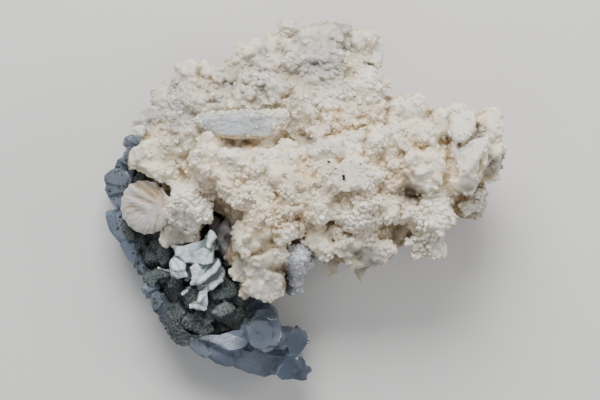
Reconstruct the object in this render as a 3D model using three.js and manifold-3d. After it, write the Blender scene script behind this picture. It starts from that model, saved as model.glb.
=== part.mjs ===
// A cabinet specimen of calcite with quartz and chlorite, lying on the sawn back of its
// quartz plate. A cream calcite crown of lumps, lenses and small rhombs overhangs the plate.
// Bluish quartz crystals stand round the plate's left and lower edge, and dark green
// chlorite coats the blocky crystals in the hollow between that edge and the crown.
// Millimetres. +Z is up, towards the display side, +X is right and +Y is away from the
// viewer. The origin is on the floor under the middle of the specimen.
import * as THREE from 'three';
import { mergeVertices } from 'three/addons/utils/BufferGeometryUtils.js';
import Module from 'manifold-3d';

const wasm = await Module();
wasm.setup();

// Driving dimensions
const plateTop = 13; // height of the quartz plate under the crown
const plateBevel = 3; // how far the plate's broken edge slopes
const crustTop = 21.3; // height of the tallest chlorite block
const gap = 0.3; // clear space kept between pieces that touch
const wallLumpRadius = 8.4; // lumps that make the crown's overhanging side
const wallLumpSpacing = 29;
const wallLumpHeight = 24;
const smallLump = 4.3; // lumps up to this radius are single rhombs
const tall = 400; // longer than anything here, for cutting tools

// Outlines, seen from above, anticlockwise
const plateOutline = [
  [-45, 27], [-54, 21], [-56, 16], [-56, 12], [-60, 10], [-62.5, 7], [-62, 3], [-60.5, -1], [-62, -5],
  [-60.5, -10], [-58, -14], [-57, -18], [-50, -25], [-49, -31], [-46, -35], [-42, -39], [-41.5, -43],
  [-36, -45.5], [-31, -49], [-24, -51], [-13, -54.5], [-6, -55.5], [-1.5, -56], [-1, -52], [-2.5, -49],
  [-1, -45], [-1.5, -42.5], [-8, -39], [-11, -34], [-11, -27], [0, -16], [8, -14], [18, -16], [28, -13],
  [40, -12], [48, -4], [53, 4], [54, 15], [46, 23], [34, 26], [24, 28], [19, 38], [15, 48], [4, 50],
  [-6, 48], [-16, 43], [-25, 36], [-36, 38],
];
// The crown's solid heart under its lumps, a wide tier and two smaller ones on it
const heartTiers = [
  {
    top: 27, bevel: 4, outline: [
      [-46, 22], [-49, 12], [-44, 2], [-36, -5], [-27, -2], [-21, -12], [-17, -24], [-8, -25], [0, -13],
      [10, -12], [20, -14], [30, -10], [42, -10], [51, -1], [56, 8], [56, 18], [46, 23], [33, 26], [22, 29],
      [19, 41], [15, 49], [4, 50], [-6, 48], [-15, 44], [-24, 37], [-36, 38],
    ],
  },
  {
    top: 33, bevel: 5, outline: [
      [-46, 18], [-43, 9], [-36, 0], [-24, -2], [-18, -15], [-10, -20], [0, -10], [12, -9], [24, -9],
      [36, -8], [46, -6], [51, 6], [55, 16], [46, 21], [30, 26], [21, 33], [14, 44], [3, 44], [-10, 41],
      [-20, 37], [-38, 34],
    ],
  },
  {
    top: 38, bevel: 4, outline: [
      [-36, 16], [-32, 5], [-20, -1], [-12, -11], [-2, -8], [8, -3], [18, -7], [27, -2], [40, 0], [47, 8],
      [46, 18], [30, 20], [22, 30], [8, 28], [-6, 17], [-24, 19],
    ],
  },
];
const hollowOutline = [
  [-53, 11], [-56.5, 5], [-58, -2], [-56.5, -8], [-54, -13], [-53, -18], [-48, -24], [-45, -30],
  [-41, -35], [-39, -41], [-34, -43], [-28, -43.5], [-21, -42.5], [-18.5, -38], [-16, -34], [-15, -27],
  [-20, -18], [-24, -6], [-36, -1], [-46, 5],
];

// Rounded calcite lumps: x, y, height of the top, radius
const lumps = {
  farLobe: [
    [-4.5, 54, 30, 3.6], [-9, 49.5, 31, 4.2], [-15, 48, 31, 5], [-21, 44, 30, 4.6], [4.5, 51.5, 32, 6.4],
    [12.3, 54.2, 31, 4], [18, 50.5, 31, 4], [8, 45, 36, 6], [-2, 45, 37, 6], [15, 43, 36, 5.4],
    [-11, 42, 36, 5.6], [3, 37.5, 38, 6], [12, 36, 39, 5.6], [-6, 35.4, 38, 5], [-17, 37, 36, 5.6],
    [-21, 31.6, 37, 4.8], [-11.5, 31.8, 36, 4], [-2, 30, 38, 4.8],
  ],
  rightShoulder: [[21, 37, 40, 6.6], [20.5, 30, 41, 6.6], [8, 28, 41, 6.6], [14.6, 24.6, 39, 4.6]],
  leftLobe: [
    [-36.5, 40.5, 32, 5], [-29, 39.6, 31, 4.6], [-44.5, 33, 31, 4.6], [-50, 26, 31, 4.6],
    [-36, 33, 36, 6.4], [-43, 26, 34, 6], [-36, 21, 37, 6.2], [-44, 18.5, 36, 6], [-50.3, 14.5, 33, 6],
    [-45, 9.5, 34, 5.6],
  ],
  middleBand: [
    [-30, 11.5, 43, 7.6], [-28.5, 21, 40, 3.8], [-21, 12.5, 43, 5.6], [-13, 11.5, 44, 6.6], [-4.5, 15, 43, 5.4],
    [-4, 6, 46, 7], [7, 16.5, 45, 6.8], [20, 18, 43.5, 6.6], [17.5, 8.5, 46, 7.4], [7.5, 6.6, 46, 6],
    [-21.5, 3.6, 43, 5.6],
  ],
  rightCluster: [
    [28.6, 29, 36, 4.2], [35.4, 28, 39, 6.2], [30, 21.5, 41, 5.6], [37, 19.6, 42, 6.6], [49, 24.8, 42, 6.6],
    [59.6, 25.5, 37, 4.2], [53, 16.5, 41, 6.4], [59.6, 17, 37, 4.2], [58.5, 10.5, 35, 5.4], [50.6, 7.5, 40, 6],
    [41, 11, 42, 7.4], [44.5, 3, 38, 4.6], [54.6, 0.3, 30, 4.4],
  ],
  lowerRosettes: [
    [41.6, -4.5, 40, 7.8], [39.5, -12, 33, 5.6], [18.5, -3.5, 43, 8.6], [29.4, -2, 40, 6.2], [20, -12.5, 34, 8.4],
    [5, -12, 36, 5.6], [4, -3, 42, 6],
  ],
  lowerLobe: [
    [-14, -0.5, 44, 6.8], [-13.5, -7.5, 43, 7], [-6, -8, 41, 6], [-4, -1, 44, 5.6], [-19, -11.5, 38, 4.6],
    [-10.6, -17.5, 36, 7.4], [-10.4, -25.5, 33, 6.6], [-17.2, -27.5, 27, 3.6],
  ],
  nearKnobs: [
    [-38, 1.2, 38, 5.8], [-33, -2.8, 36, 5.2], [-40.6, -4.6, 33, 5], [-41, -10.5, 28.6, 5],
    [-35.6, -9, 30, 4.8],
  ],
};

// Calcite lenses: x, y, height of the middle, radius, thickness, tilt from flat, way it leans
const lenses = [
  [23.2, 46.4, 27, 4.4, 2.6, 28, 10], [-52.8, 24.6, 27, 4, 2.6, 35, 150], [50, 26, 38.5, 6, 3, 35, 100],
  [60.4, 25.6, 34.5, 4.6, 2.6, 50, 60], [55.6, 15.6, 38, 6.6, 2.4, 62, -50], [51.4, 6.6, 37, 5.4, 2.6, 48, -80],
  [36.4, 7.6, 38, 5.4, 2.2, 64, -150], [15, -15.6, 28, 7.4, 2.6, 30, -110],
  [23.2, -14.8, 29, 7.4, 2.6, 26, -60], [39, -14, 28.5, 5.4, 2.6, 30, -90], [5.6, -14.4, 33, 5.4, 2.6, 38, -140],
  [18.4, -22.6, 25.4, 3, 2.4, 24, -90], [-18.6, -20.6, 29.4, 6.2, 3.2, 28, 190],
  [-13, -24, 31, 5.4, 2.4, 40, -120], [-52, 13, 30.5, 4.6, 2.6, 36, 190],
];

// The quartz rim round the hollow, a broken wall that follows the specimen's edge
const quartzRim = {
  low: 5, top: 17.4, bevel: 2.4, outline: [
    [-48, 24], [-53, 21.6], [-57, 17.4], [-56.8, 12.8], [-61.4, 10.2], [-64, 7], [-63, 5], [-64, 3.4], [-61.8, 1],
    [-60.8, -2.4], [-63.6, -4.4], [-63, -7.4], [-60.4, -11], [-58.4, -15.4], [-55, -20], [-50, -25], [-50.6, -31],
    [-48, -34], [-44, -38.6], [-43, -42.6], [-40.6, -45.2], [-36.6, -46], [-34.4, -48.6], [-31.4, -50.2],
    [-28, -51.4], [-23, -52.2], [-18, -54.2], [-12.4, -55.8], [-6.6, -56.9], [-1.8, -57.6], [0.3, -56],
    [0, -53.4], [-2.4, -49.8], [0.2, -46], [-0.4, -42.6], [-7, -41.8], [-8.6, -39], [-12, -35.6], [-14, -30],
    [-24, -16], [-42, 4],
  ],
};

// Blunt quartz crystals: x, y, height of the foot, radius, length, tilt from upright, way they lean
const quartzCrystals = {
  leftKnots: [
    [-54.2, 18.6, 6, 3.6, 11.4, 14, 140], [-53.6, 14.6, 6, 3.6, 12, 16, 190], [-57.6, 8.4, 6, 4.6, 11.6, 10, 120],
    [-60, 5.4, 6, 3.6, 11, 8, 175], [-58, 1.4, 6, 3.6, 11, 8, 200],
  ],
  leftRails: [[-61.2, -4.8, 13.6, 2.8, 12, 84, -52], [-56.4, -13.2, 12.6, 3, 13, 84, -58]],
  cornerBlocks: [
    [-48.6, -28, 8, 2.4, 12, 14, 190], [-44.8, -31.6, 8, 4.2, 11.4, 12, 220], [-43.4, -36, 8, 3.6, 9.6, 18, 230],
    [-39.4, -40.6, 7, 4.8, 12, 8, 230], [-32.8, -45, 7, 4, 10, 14, 250],
  ],
  lowerWall: [
    [-33, -43.8, 15, 3.2, 15, 80, -10], [-30, -42.6, 10, 3.2, 9, 12, 200], [-26, -49, 9, 4.4, 16, 82, -16],
    [-12, -49.4, 10, 4.8, 9, 78, -24], [-3.2, -53.6, 8, 3, 11, 12, -60], [-6.6, -44.8, 9, 3.2, 10, 16, 40],
    [-3, -45, 9, 3.2, 8.6, 12, 10], [-12.6, -37.6, 8, 4.6, 12.4, 10, 100], [-17, -34.4, 6, 3.4, 11, 8, 160],
  ],
};
const crownFoot = [
  [-47, 40], [-51.4, 22], [-50.6, 12], [-44, 0], [-24, -8], [-18, -20], [-15.4, -30], [-10, -31.4], [2, -31], [64, -20],
  [64, 40],
];
const facetedPoint = { x: -13.4, y: -42.8, foot: 8, radius: 5.2, length: 14 }; // its cut face shows on top

// Blocks under the chlorite: x, y, height of the middle, half size, tilt, way it leans
const chloriteBlocks = [
  [-54, 8, 14, 3.4, 14, 30], [-56, 1, 14, 3, 18, 160], [-55, -6, 14.4, 3.2, 22, 130], [-52.6, -13, 14.2, 3.4, 20, 210],
  [-49, -18, 15, 4.2, 24, 60], [-44, -17, 15.4, 4, 16, 300], [-46, -24, 14.6, 3.6, 26, 220], [-41, -26.4, 15, 3.8, 20, 130],
  [-42, -31.6, 14, 3, 18, 250], [-36, -31, 16, 4.2, 22, 80], [-30, -31, 16, 4, 26, 20], [-25.6, -28.4, 16.4, 4.4, 18, 340],
  [-26, -35, 16.4, 4.2, 30, 300], [-32, -37.6, 15.6, 4.6, 20, 60], [-36.4, -38.6, 15, 3.8, 26, 240],
  [-21.6, -37.6, 15, 3.8, 26, 10], [-25, -40.6, 14.6, 3.2, 20, 120], [-31, -42, 14, 3, 18, 270],
  [-20.6, -31, 16, 3.4, 22, 200], [-24.6, -16, 17, 3.4, 26, 30], [-25, -10.4, 17, 3, 20, 100],
  [-31, -24, 15, 4, 12, 190], [-38, -20, 14, 4.4, 14, 250], [-46, -10, 14, 4, 12, 120],
];

// White calcite blades over the hollow, traced from above: outline, height of the middle,
// thickness, tilt from flat, way it leans
const whitePlates = [
  {
    height: 27, thickness: 2.2, tilt: 10, lean: 200, outline: [
      [-42, -14.2], [-38.4, -14.4], [-34, -13], [-30.6, -12], [-28.2, -14], [-28.8, -19.6], [-32, -20.4], [-36, -19.6],
      [-39.4, -17.6], [-41.4, -16.2],
    ],
  },
  {
    height: 28.4, thickness: 1.8, tilt: 34, lean: 200,
    outline: [[-32, -14], [-31.4, -11.2], [-29.6, -9.2], [-28.2, -10], [-28.6, -12], [-28, -14.4], [-30.4, -15]],
  },
  {
    height: 25, thickness: 4.4, tilt: 14, lean: 250,
    outline: [[-43, -19.4], [-41.4, -17.4], [-38.4, -17.4], [-37.4, -20], [-37.8, -23.8], [-40, -24.6], [-42.4, -23.8]],
  },
  {
    height: 25.4, thickness: 1.8, tilt: 30, lean: 310, outline: [
      [-36.6, -27], [-35.6, -25], [-36.6, -21], [-34, -19], [-30, -19.6], [-27.2, -18.2], [-26.2, -20], [-28.6, -22.6],
      [-31, -25.4], [-33, -26.8],
    ],
  },
  {
    height: 24, thickness: 1.8, tilt: 22, lean: 300,
    outline: [[-34, -26.8], [-31, -25], [-28, -22.4], [-26, -21], [-25.2, -22.4], [-25, -25], [-29, -26.2]],
  },
  {
    height: 23.4, thickness: 1.8, tilt: 18, lean: 320,
    outline: [[-33.6, -30], [-31.4, -29.4], [-26.4, -26.4], [-25.4, -25], [-27, -24.6], [-31, -26.4]],
  },
  {
    height: 23, thickness: 1.8, tilt: 16, lean: 250,
    outline: [[-37, -33.4], [-34.4, -35.2], [-31.4, -35.2], [-30.6, -33], [-30.8, -28.6], [-33.4, -28.6], [-34.4, -32]],
  },
];
const whiteHeart = [[-37, -16.5, 26.6, 4.4], [-31.8, -19.6, 26.4, 4.6], [-31.4, -26.4, 25, 3.8], [-33, -22.6, 25.6, 3.8]];

// The scalloped shell, the long blade and the sugary finger
const shell = { x: -50.6, y: -2, height: 26.6, radius: 9.6, thickness: 4.4, tilt: 24, lean: 205, ribs: 18, ribDepth: 0.35 };
const shellHeart = [-46.4, -0.6, 26.8, 5.2];
const longBlade = {
  outline: [[-35, 25.6], [-30, 22.4], [-25.6, 20.2], [-20, 19.6], [-11.6, 19.8], [-9, 20.8], [-5.6, 24],
    [-4.6, 27.4], [-6, 28.8], [-16, 28.6], [-26, 28.4], [-32, 27.4]],
  thickness: 4, bevel: 1.2, height: 39.5, tilt: 14, lean: -86,
};
const finger = { from: [-1.6, -17.4, 31], to: [-3.2, -27.6, 21], radius: 4.1, beads: 4, arm: [1.6, -19.4, 29, 2.4] };

function randomFrom(seed) {
  let state = seed;
  return () => {
    state = (Math.imul(state, 1664525) + 1013904223) >>> 0;
    return state / 4294967296;
  };
}

// A closed three.js geometry as a solid, whichever way its faces point.
function solidOf(geometry) {
  const bare = geometry.index ? geometry.toNonIndexed() : geometry;
  const places = new THREE.BufferGeometry().setAttribute('position', bare.getAttribute('position'));
  const merged = mergeVertices(places, 1e-4);
  const corners = merged.index.array;
  const kept = [];
  for (let i = 0; i < corners.length; i += 3) {
    const [a, b, c] = [corners[i], corners[i + 1], corners[i + 2]];
    if (a !== b && b !== c && c !== a) kept.push(a, b, c);
  }
  const build = (triVerts) => new wasm.Manifold(new wasm.Mesh({
    numProp: 3,
    vertProperties: new Float32Array(merged.attributes.position.array),
    triVerts: new Uint32Array(triVerts),
  }));
  const solid = build(kept);
  return solid.volume() > 0 ? solid : build(kept.reverse());
}

const joined = (solids) => solids.reduce((whole, piece) => whole.add(piece));

// Moves a geometry whose own axis is +Z: spun about it, tipped by tilt degrees, turned to lean
// towards a compass direction in the plan (0 is +X), then carried to its place.
function place(geometry, x, y, z, tilt = 0, lean = 0, spin = 0) {
  const turn = new THREE.Matrix4().makeRotationZ(THREE.MathUtils.degToRad(lean))
    .multiply(new THREE.Matrix4().makeRotationY(THREE.MathUtils.degToRad(tilt)))
    .multiply(new THREE.Matrix4().makeRotationZ(THREE.MathUtils.degToRad(spin)));
  return geometry.applyMatrix4(turn).translate(x, y, z);
}

// A solid of revolution about +Z from a profile of [radius, height] points.
function turned(profile, sides) {
  const points = profile.map(([radius, height]) => new THREE.Vector2(radius, height));
  return new THREE.LatheGeometry(points, sides).rotateX(Math.PI / 2);
}

function outlined(outline, low, high, bevel) {
  const shape = new THREE.Shape(outline.map(([x, y]) => new THREE.Vector2(x, y)));
  const options = {
    depth: high - low - 2 * bevel, bevelEnabled: bevel > 0, bevelThickness: bevel,
    bevelSize: bevel, bevelOffset: -bevel, bevelSegments: 1,
  };
  return new THREE.ExtrudeGeometry(shape, options).translate(0, 0, low + bevel);
}

// Everything above a height, as a cutting tool.
const above = (height) => solidOf(new THREE.BoxGeometry(tall, tall, tall).translate(0, 0, height + tall / 2));

function lump([x, y, top, radius], grow = 0) {
  const ball = new THREE.IcosahedronGeometry(1.0 * radius + grow, 0).scale(1, 1, 0.85);
  return solidOf(place(ball, x, y, top - 0.85 * radius, 12, x * 37, y * 23));
}

// A calcite rhomb: a cube leaned over in two directions.
function rhomb([x, y, top, radius], grow = 0) {
  const leaned = new THREE.Matrix4().set(1, 0.12, 0.26, 0, 0, 1, 0.2, 0, 0, 0, 1, 0, 0, 0, 0, 1);
  const size = 1.5 * radius + 2 * grow;
  const cube = new THREE.BoxGeometry(size, size, size).applyMatrix4(leaned);
  return solidOf(place(cube, x, y, top - 0.9 * radius, 24, x * 37, y * 23));
}

function lens([x, y, z, radius, thickness, tilt, lean]) {
  const half = thickness / 2;
  const disc = turned([[0, -half], [radius, -0.3 * half], [0.7 * radius, half], [0, half]], 7);
  return solidOf(place(disc, x, y, z, tilt, lean, x * 11));
}

// A crystal blade traced from above, tilted about its middle.
function blade({ outline, thickness, bevel = 0, height, tilt, lean }, grow = 0) {
  const box = new THREE.Box2().setFromPoints(outline.map(([x, y]) => new THREE.Vector2(x, y)));
  const middle = box.getCenter(new THREE.Vector2());
  const span = box.getSize(new THREE.Vector2());
  const local = outline.map(([x, y]) => [x - middle.x, y - middle.y]);
  const slab = outlined(local, -thickness / 2 - grow, thickness / 2 + grow, grow > 0 ? 0 : bevel);
  slab.scale(1 + 2.4 * grow / span.x, 1 + 2.4 * grow / span.y, 1);
  return solidOf(place(slab, middle.x, middle.y, height, tilt, lean, -lean));
}

// The crown's overhanging side: lumps spaced along the heart's edge, under the display lumps.
function wallLumps() {
  const random = randomFrom(11);
  const edge = heartTiers[0].outline.map(([x, y]) => new THREE.Vector3(x, y, 0));
  const path = new THREE.CatmullRomCurve3(edge, true, 'centripetal');
  const count = Math.round(path.getLength() / wallLumpSpacing);
  return path.getSpacedPoints(count).slice(0, count).map(({ x, y }) => {
    const radius = wallLumpRadius * (0.8 + 0.3 * random());
    return lump([x, y, wallLumpHeight + 4 * random(), radius]);
  });
}

function crown() {
  const named = Object.values(lumps).flat();
  return joined([
    ...heartTiers.map(({ outline, top, bevel }) => solidOf(outlined(outline, plateTop - 4, top, bevel))),
    ...wallLumps(),
    ...named.map((row) => (row[3] <= smallLump ? rhomb(row) : lump(row))),
    ...lenses.map((row) => lens(row)),
  ]).intersect(above(plateTop + gap));
}

function quartzCrystal([x, y, foot, radius, length, tilt, lean], grow = 0) {
  const [wide, tip] = [radius + grow, length + grow];
  const blunt = turned([[0, 0], [wide, 0], [wide, tip - 0.6 * radius], [0.55 * wide, tip], [0, tip]], 6);
  return solidOf(place(blunt, x, y, foot, tilt, lean, x * 17));
}

function quartzPlate() {
  const plate = solidOf(outlined(plateOutline, 0, plateTop, plateBevel));
  const rim = solidOf(outlined(quartzRim.outline, quartzRim.low, quartzRim.top, quartzRim.bevel));
  const crystals = Object.values(quartzCrystals).flat().map((row) => quartzCrystal(row));
  const { x, y, foot, radius, length } = facetedPoint;
  const cutFace = turned([[0, 0], [radius * 1.05, 0], [radius * 1.05, length - 2.4], [radius * 0.82, length], [0, length]], 6);
  crystals.push(solidOf(place(cutFace, x, y, foot, 5, 250, 24)));
  return joined([plate, rim, ...crystals]).subtract(underCrown).intersect(above(0));
}

// The space in the hollow that the chlorite fills, less a margin all round.
function hollowSpace(margin) {
  const middle = [-38, -20];
  const inner = hollowOutline.map(([x, y]) => {
    const out = new THREE.Vector2(x - middle[0], y - middle[1]);
    out.setLength(out.length() - margin * 1.6);
    return [middle[0] + out.x, middle[1] + out.y];
  });
  return solidOf(outlined(inner, plateTop + margin, crustTop + gap - margin, 0));
}

function chloriteCrust() {
  const bed = solidOf(outlined(hollowOutline, plateTop + gap, plateTop + 2.4, 0));
  const blocks = chloriteBlocks.map(([x, y, z, half, tilt, lean]) => {
    const block = new THREE.CylinderGeometry(0.85 * half, 1.1 * half, 1.7 * half, 4).rotateX(Math.PI / 2);
    return solidOf(place(block, x, y, z, tilt, lean, x * 13));
  });
  return joined([bed, ...blocks]).intersect(hollowSpace(gap));
}

function whiteBlades(grow = 0) {
  const solids = [...whitePlates.map((row) => blade(row, grow)), ...whiteHeart.map((row) => lump(row, grow))];
  return joined(solids).intersect(above(crustTop + gap - grow));
}

// The scalloped shell: a thick lens whose rim goes in and out between its ribs.
function scallopedShell() {
  const { x, y, height, radius, thickness, tilt, lean, ribs, ribDepth } = shell;
  const half = thickness / 2;
  const disc = turned([[0, -half], [0.97 * radius, -0.5], [radius, 0], [0.7 * radius, 0.8 * half], [0, half]], 2 * ribs);
  const points = disc.getAttribute('position');
  for (let i = 0; i < points.count; i++) {
    const [px, py] = [points.getX(i), points.getY(i)];
    const reach = (Math.hypot(px, py) / radius) ** 4;
    const wave = 1 - (ribDepth / radius) * reach * (1 - Math.cos(Math.atan2(py, px) * ribs));
    points.setXY(i, px * wave, py * wave);
  }
  return solidOf(place(disc, x, y, height, tilt, lean)).add(lump(shellHeart)).intersect(above(crustTop + gap));
}

function shellRoom() {
  const { x, y, height, radius, thickness, tilt, lean } = shell;
  const [wide, half] = [1.06 * radius, thickness / 2 + gap];
  const disc = turned([[0, -half], [wide, -half], [wide, 0.5], [0.75 * wide, half], [0, half]], 10);
  return solidOf(place(disc, x, y, height, tilt, lean)).add(lump(shellHeart, gap * 1.4));
}

const longBladeSolid = (grow = 0) => blade(longBlade, grow);

// The sugary finger: beads along a line that runs out and down from the crown.
function sugaryFinger(grow = 0) {
  const start = new THREE.Vector3(...finger.from);
  const end = new THREE.Vector3(...finger.to);
  const beads = [lump(finger.arm, grow)];
  for (let i = 0; i < finger.beads; i++) {
    const { x, y, z } = start.clone().lerp(end, i / (finger.beads - 1));
    const radius = finger.radius * (1 - 0.07 * i);
    beads.push(lump([x + 0.5 * Math.sin(3 * i), y, z + 0.85 * radius, radius], grow));
  }
  return joined(beads);
}

const stone = (hex, roughness) => new THREE.MeshStandardMaterial({ color: hex, roughness, metalness: 0 });
const finishes = {
  quartz: stone(0x8a94a6, 0.35),
  chlorite: stone(0x4a5246, 0.85),
  creamCalcite: stone(0xded2bf, 0.6),
  whiteCalcite: stone(0xe4e6e2, 0.4),
  greyCalcite: stone(0xc9cac6, 0.45),
};

function node(name, solid, material) {
  const { vertProperties, triVerts } = solid.getMesh();
  const geometry = new THREE.BufferGeometry();
  geometry.setAttribute('position', new THREE.BufferAttribute(vertProperties, 3));
  geometry.setIndex(new THREE.BufferAttribute(triVerts, 1));
  geometry.computeVertexNormals();
  const mesh = new THREE.Mesh(geometry, material);
  mesh.name = name;
  return mesh;
}

// The rim stays low under the crown, where only the plate goes on.
const underCrown = solidOf(outlined(crownFoot, plateTop, tall, 0));

// The small pieces keep their whole shape, and each larger one is cut back round them.
const overHollow = solidOf(outlined(hollowOutline, plateTop, crustTop + gap, 0));
const rimCrystals = quartzCrystals.leftKnots.slice(0, 2).map((row) => quartzCrystal(row, gap));
rimCrystals.push(solidOf(outlined(quartzRim.outline, quartzRim.low, quartzRim.top + gap, 0)).subtract(underCrown));
const crownRoom = [longBladeSolid(gap), shellRoom(), whiteBlades(gap), sugaryFinger(gap), overHollow, ...rimCrystals];
const crustRoom = solidOf(outlined(hollowOutline, plateTop, tall, 0));

const specimen = new THREE.Group();
specimen.add(
  node('quartz_plate', quartzPlate().subtract(crustRoom), finishes.quartz),
  node('chlorite_crust', chloriteCrust(), finishes.chlorite),
  node('calcite_crown', crown().subtract(joined(crownRoom)), finishes.creamCalcite),
  node('white_blades', whiteBlades(), finishes.whiteCalcite),
  node('scalloped_shell', scallopedShell(), finishes.creamCalcite),
  node('long_blade', longBladeSolid(), finishes.greyCalcite),
  node('sugary_finger', sugaryFinger(), finishes.whiteCalcite),
);

export default specimen;
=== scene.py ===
import bpy
import math
import time
import numpy as np
from mathutils import Matrix, Vector, noise
from mathutils.bvhtree import BVHTree


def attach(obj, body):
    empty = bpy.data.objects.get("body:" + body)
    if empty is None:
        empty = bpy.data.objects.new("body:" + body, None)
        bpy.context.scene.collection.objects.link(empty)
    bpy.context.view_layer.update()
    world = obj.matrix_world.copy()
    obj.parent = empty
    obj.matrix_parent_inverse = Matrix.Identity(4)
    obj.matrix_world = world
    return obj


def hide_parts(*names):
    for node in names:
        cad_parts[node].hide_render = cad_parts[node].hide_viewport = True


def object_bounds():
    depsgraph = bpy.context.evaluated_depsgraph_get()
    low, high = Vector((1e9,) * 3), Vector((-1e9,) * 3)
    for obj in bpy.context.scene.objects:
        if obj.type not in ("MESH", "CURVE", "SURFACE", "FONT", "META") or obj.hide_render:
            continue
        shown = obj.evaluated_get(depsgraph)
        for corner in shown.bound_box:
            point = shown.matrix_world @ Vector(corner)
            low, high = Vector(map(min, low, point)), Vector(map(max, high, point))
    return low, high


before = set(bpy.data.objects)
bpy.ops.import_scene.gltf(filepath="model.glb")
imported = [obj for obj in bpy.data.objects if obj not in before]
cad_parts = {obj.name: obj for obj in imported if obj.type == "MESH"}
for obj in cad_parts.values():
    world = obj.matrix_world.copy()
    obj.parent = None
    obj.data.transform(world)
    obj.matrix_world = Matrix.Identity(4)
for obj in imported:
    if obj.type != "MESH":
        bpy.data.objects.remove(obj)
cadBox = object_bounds()
started = time.time()
mm = 0.001
noise.seed_set(7)  # left alone it starts from the clock, and the picture changes from run to run


def report(stage):
    print(f"{stage} ({time.time() - started:.0f} s)")


def deselectAll():
    if bpy.context.object and bpy.context.object.mode != "OBJECT":
        bpy.ops.object.mode_set(mode="OBJECT")
    bpy.ops.object.select_all(action="DESELECT")


def pick(piece):
    deselectAll()
    piece.select_set(True)
    bpy.context.view_layer.objects.active = piece


studio = {
    "lens": 200,  # mm, a long lens from straight above
    "seenWidth": 0.192,  # m across the picture at the aimed height
    "aim": (-0.00112, 0.00032, 0.028),
    "keyPower": 10.5, "keySize": 0.5, "keyPlace": (-0.08, 0.62, 0.58),
    "fillPower": 2.2, "fillSize": 0.9, "fillPlace": (-0.3, -0.35, 0.9),
    "rimPower": 1.6, "rimSize": 0.3, "rimPlace": (0.6, 0.1, 0.35),
    "skyStrength": 0.24, "floorColour": (0.78, 0.77, 0.75),
}

aim = Vector(studio["aim"])
distance = studio["seenWidth"] * studio["lens"] / 36
bpy.ops.object.camera_add(location=aim + Vector((0, 0, distance)), rotation=(0, 0, 0))
camera = bpy.context.object
camera.name = "photoCamera"
camera.data.lens = studio["lens"]
camera.data.sensor_width = 36
camera.data.clip_start = 0.05
camera.data.clip_end = 10
bpy.context.scene.camera = camera


def softLight(name, place, size, power, colour=(1, 1, 1)):
    bpy.ops.object.light_add(type="AREA", location=place)
    lamp = bpy.context.object
    lamp.name = name
    lamp.rotation_euler = (Vector((0, 0, 0.02)) - Vector(place)).to_track_quat("-Z", "Y").to_euler()
    lamp.data.size = size
    lamp.data.energy = power
    lamp.data.color = colour


softLight("keyLight", studio["keyPlace"], studio["keySize"], studio["keyPower"], (1, 0.99, 0.97))
softLight("fillLight", studio["fillPlace"], studio["fillSize"], studio["fillPower"], (0.93, 0.96, 1))
softLight("rimLight", studio["rimPlace"], studio["rimSize"], studio["rimPower"], (1, 0.98, 0.95))

sky = bpy.data.worlds.new("studioSky")
bpy.context.scene.world = sky
sky.use_nodes = True
sky.node_tree.nodes["Background"].inputs["Color"].default_value = (0.93, 0.95, 1, 1)
sky.node_tree.nodes["Background"].inputs["Strength"].default_value = studio["skyStrength"]

deselectAll()
bpy.ops.mesh.primitive_plane_add(size=6, location=(0, 0, 0))
floor = bpy.context.object
floor.name = "paleFloor"
report("studio ready")


class Wire:
    def __init__(self, tree, socket):
        self.tree = tree
        self.socket = socket

    def node(self, kind, settings=None, **values):
        made = self.tree.nodes.new(kind)
        for key, value in (settings or {}).items():
            setattr(made, key, value)
        for key, value in values.items():
            numbered = key[0] == "i" and key[1:].isdigit()
            socket = made.inputs[int(key[1:]) if numbered else key.replace("_", " ")]
            if isinstance(value, Wire):
                self.tree.links.new(value.socket, socket)
            else:
                socket.default_value = value
        return made

    def out(self, made, name=0):
        return Wire(self.tree, made.outputs[name])

    def sums(self, operation, other, swap=False):
        first, second = (other, self) if swap else (self, other)
        return self.out(self.node("ShaderNodeMath", {"operation": operation}, i0=first, i1=second))

    def __add__(self, other):
        return self.sums("ADD", other)

    def __radd__(self, other):
        return self.sums("ADD", other, True)

    def __sub__(self, other):
        return self.sums("SUBTRACT", other)

    def __rsub__(self, other):
        return self.sums("SUBTRACT", other, True)

    def __mul__(self, other):
        return self.sums("MULTIPLY", other)

    def clipped(self, low=0.0, high=1.0):
        return self.sums("MAXIMUM", low).sums("MINIMUM", high)

    def between(self, low, high):  # 0 at low, 1 at high, smooth
        return self.out(self.node("ShaderNodeMapRange", {"interpolation_type": "SMOOTHSTEP"},
                                  Value=self, From_Min=low, From_Max=high))

    def mixed(self, first, second):  # first where this is 0, second where it is 1
        made = self.node("ShaderNodeMix", {"data_type": "RGBA"}, i0=self)
        for index, colour in ((6, first), (7, second)):
            if isinstance(colour, Wire):
                self.tree.links.new(colour.socket, made.inputs[index])
            else:
                made.inputs[index].default_value = (*colour, 1)
        return self.out(made, 2)


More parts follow.
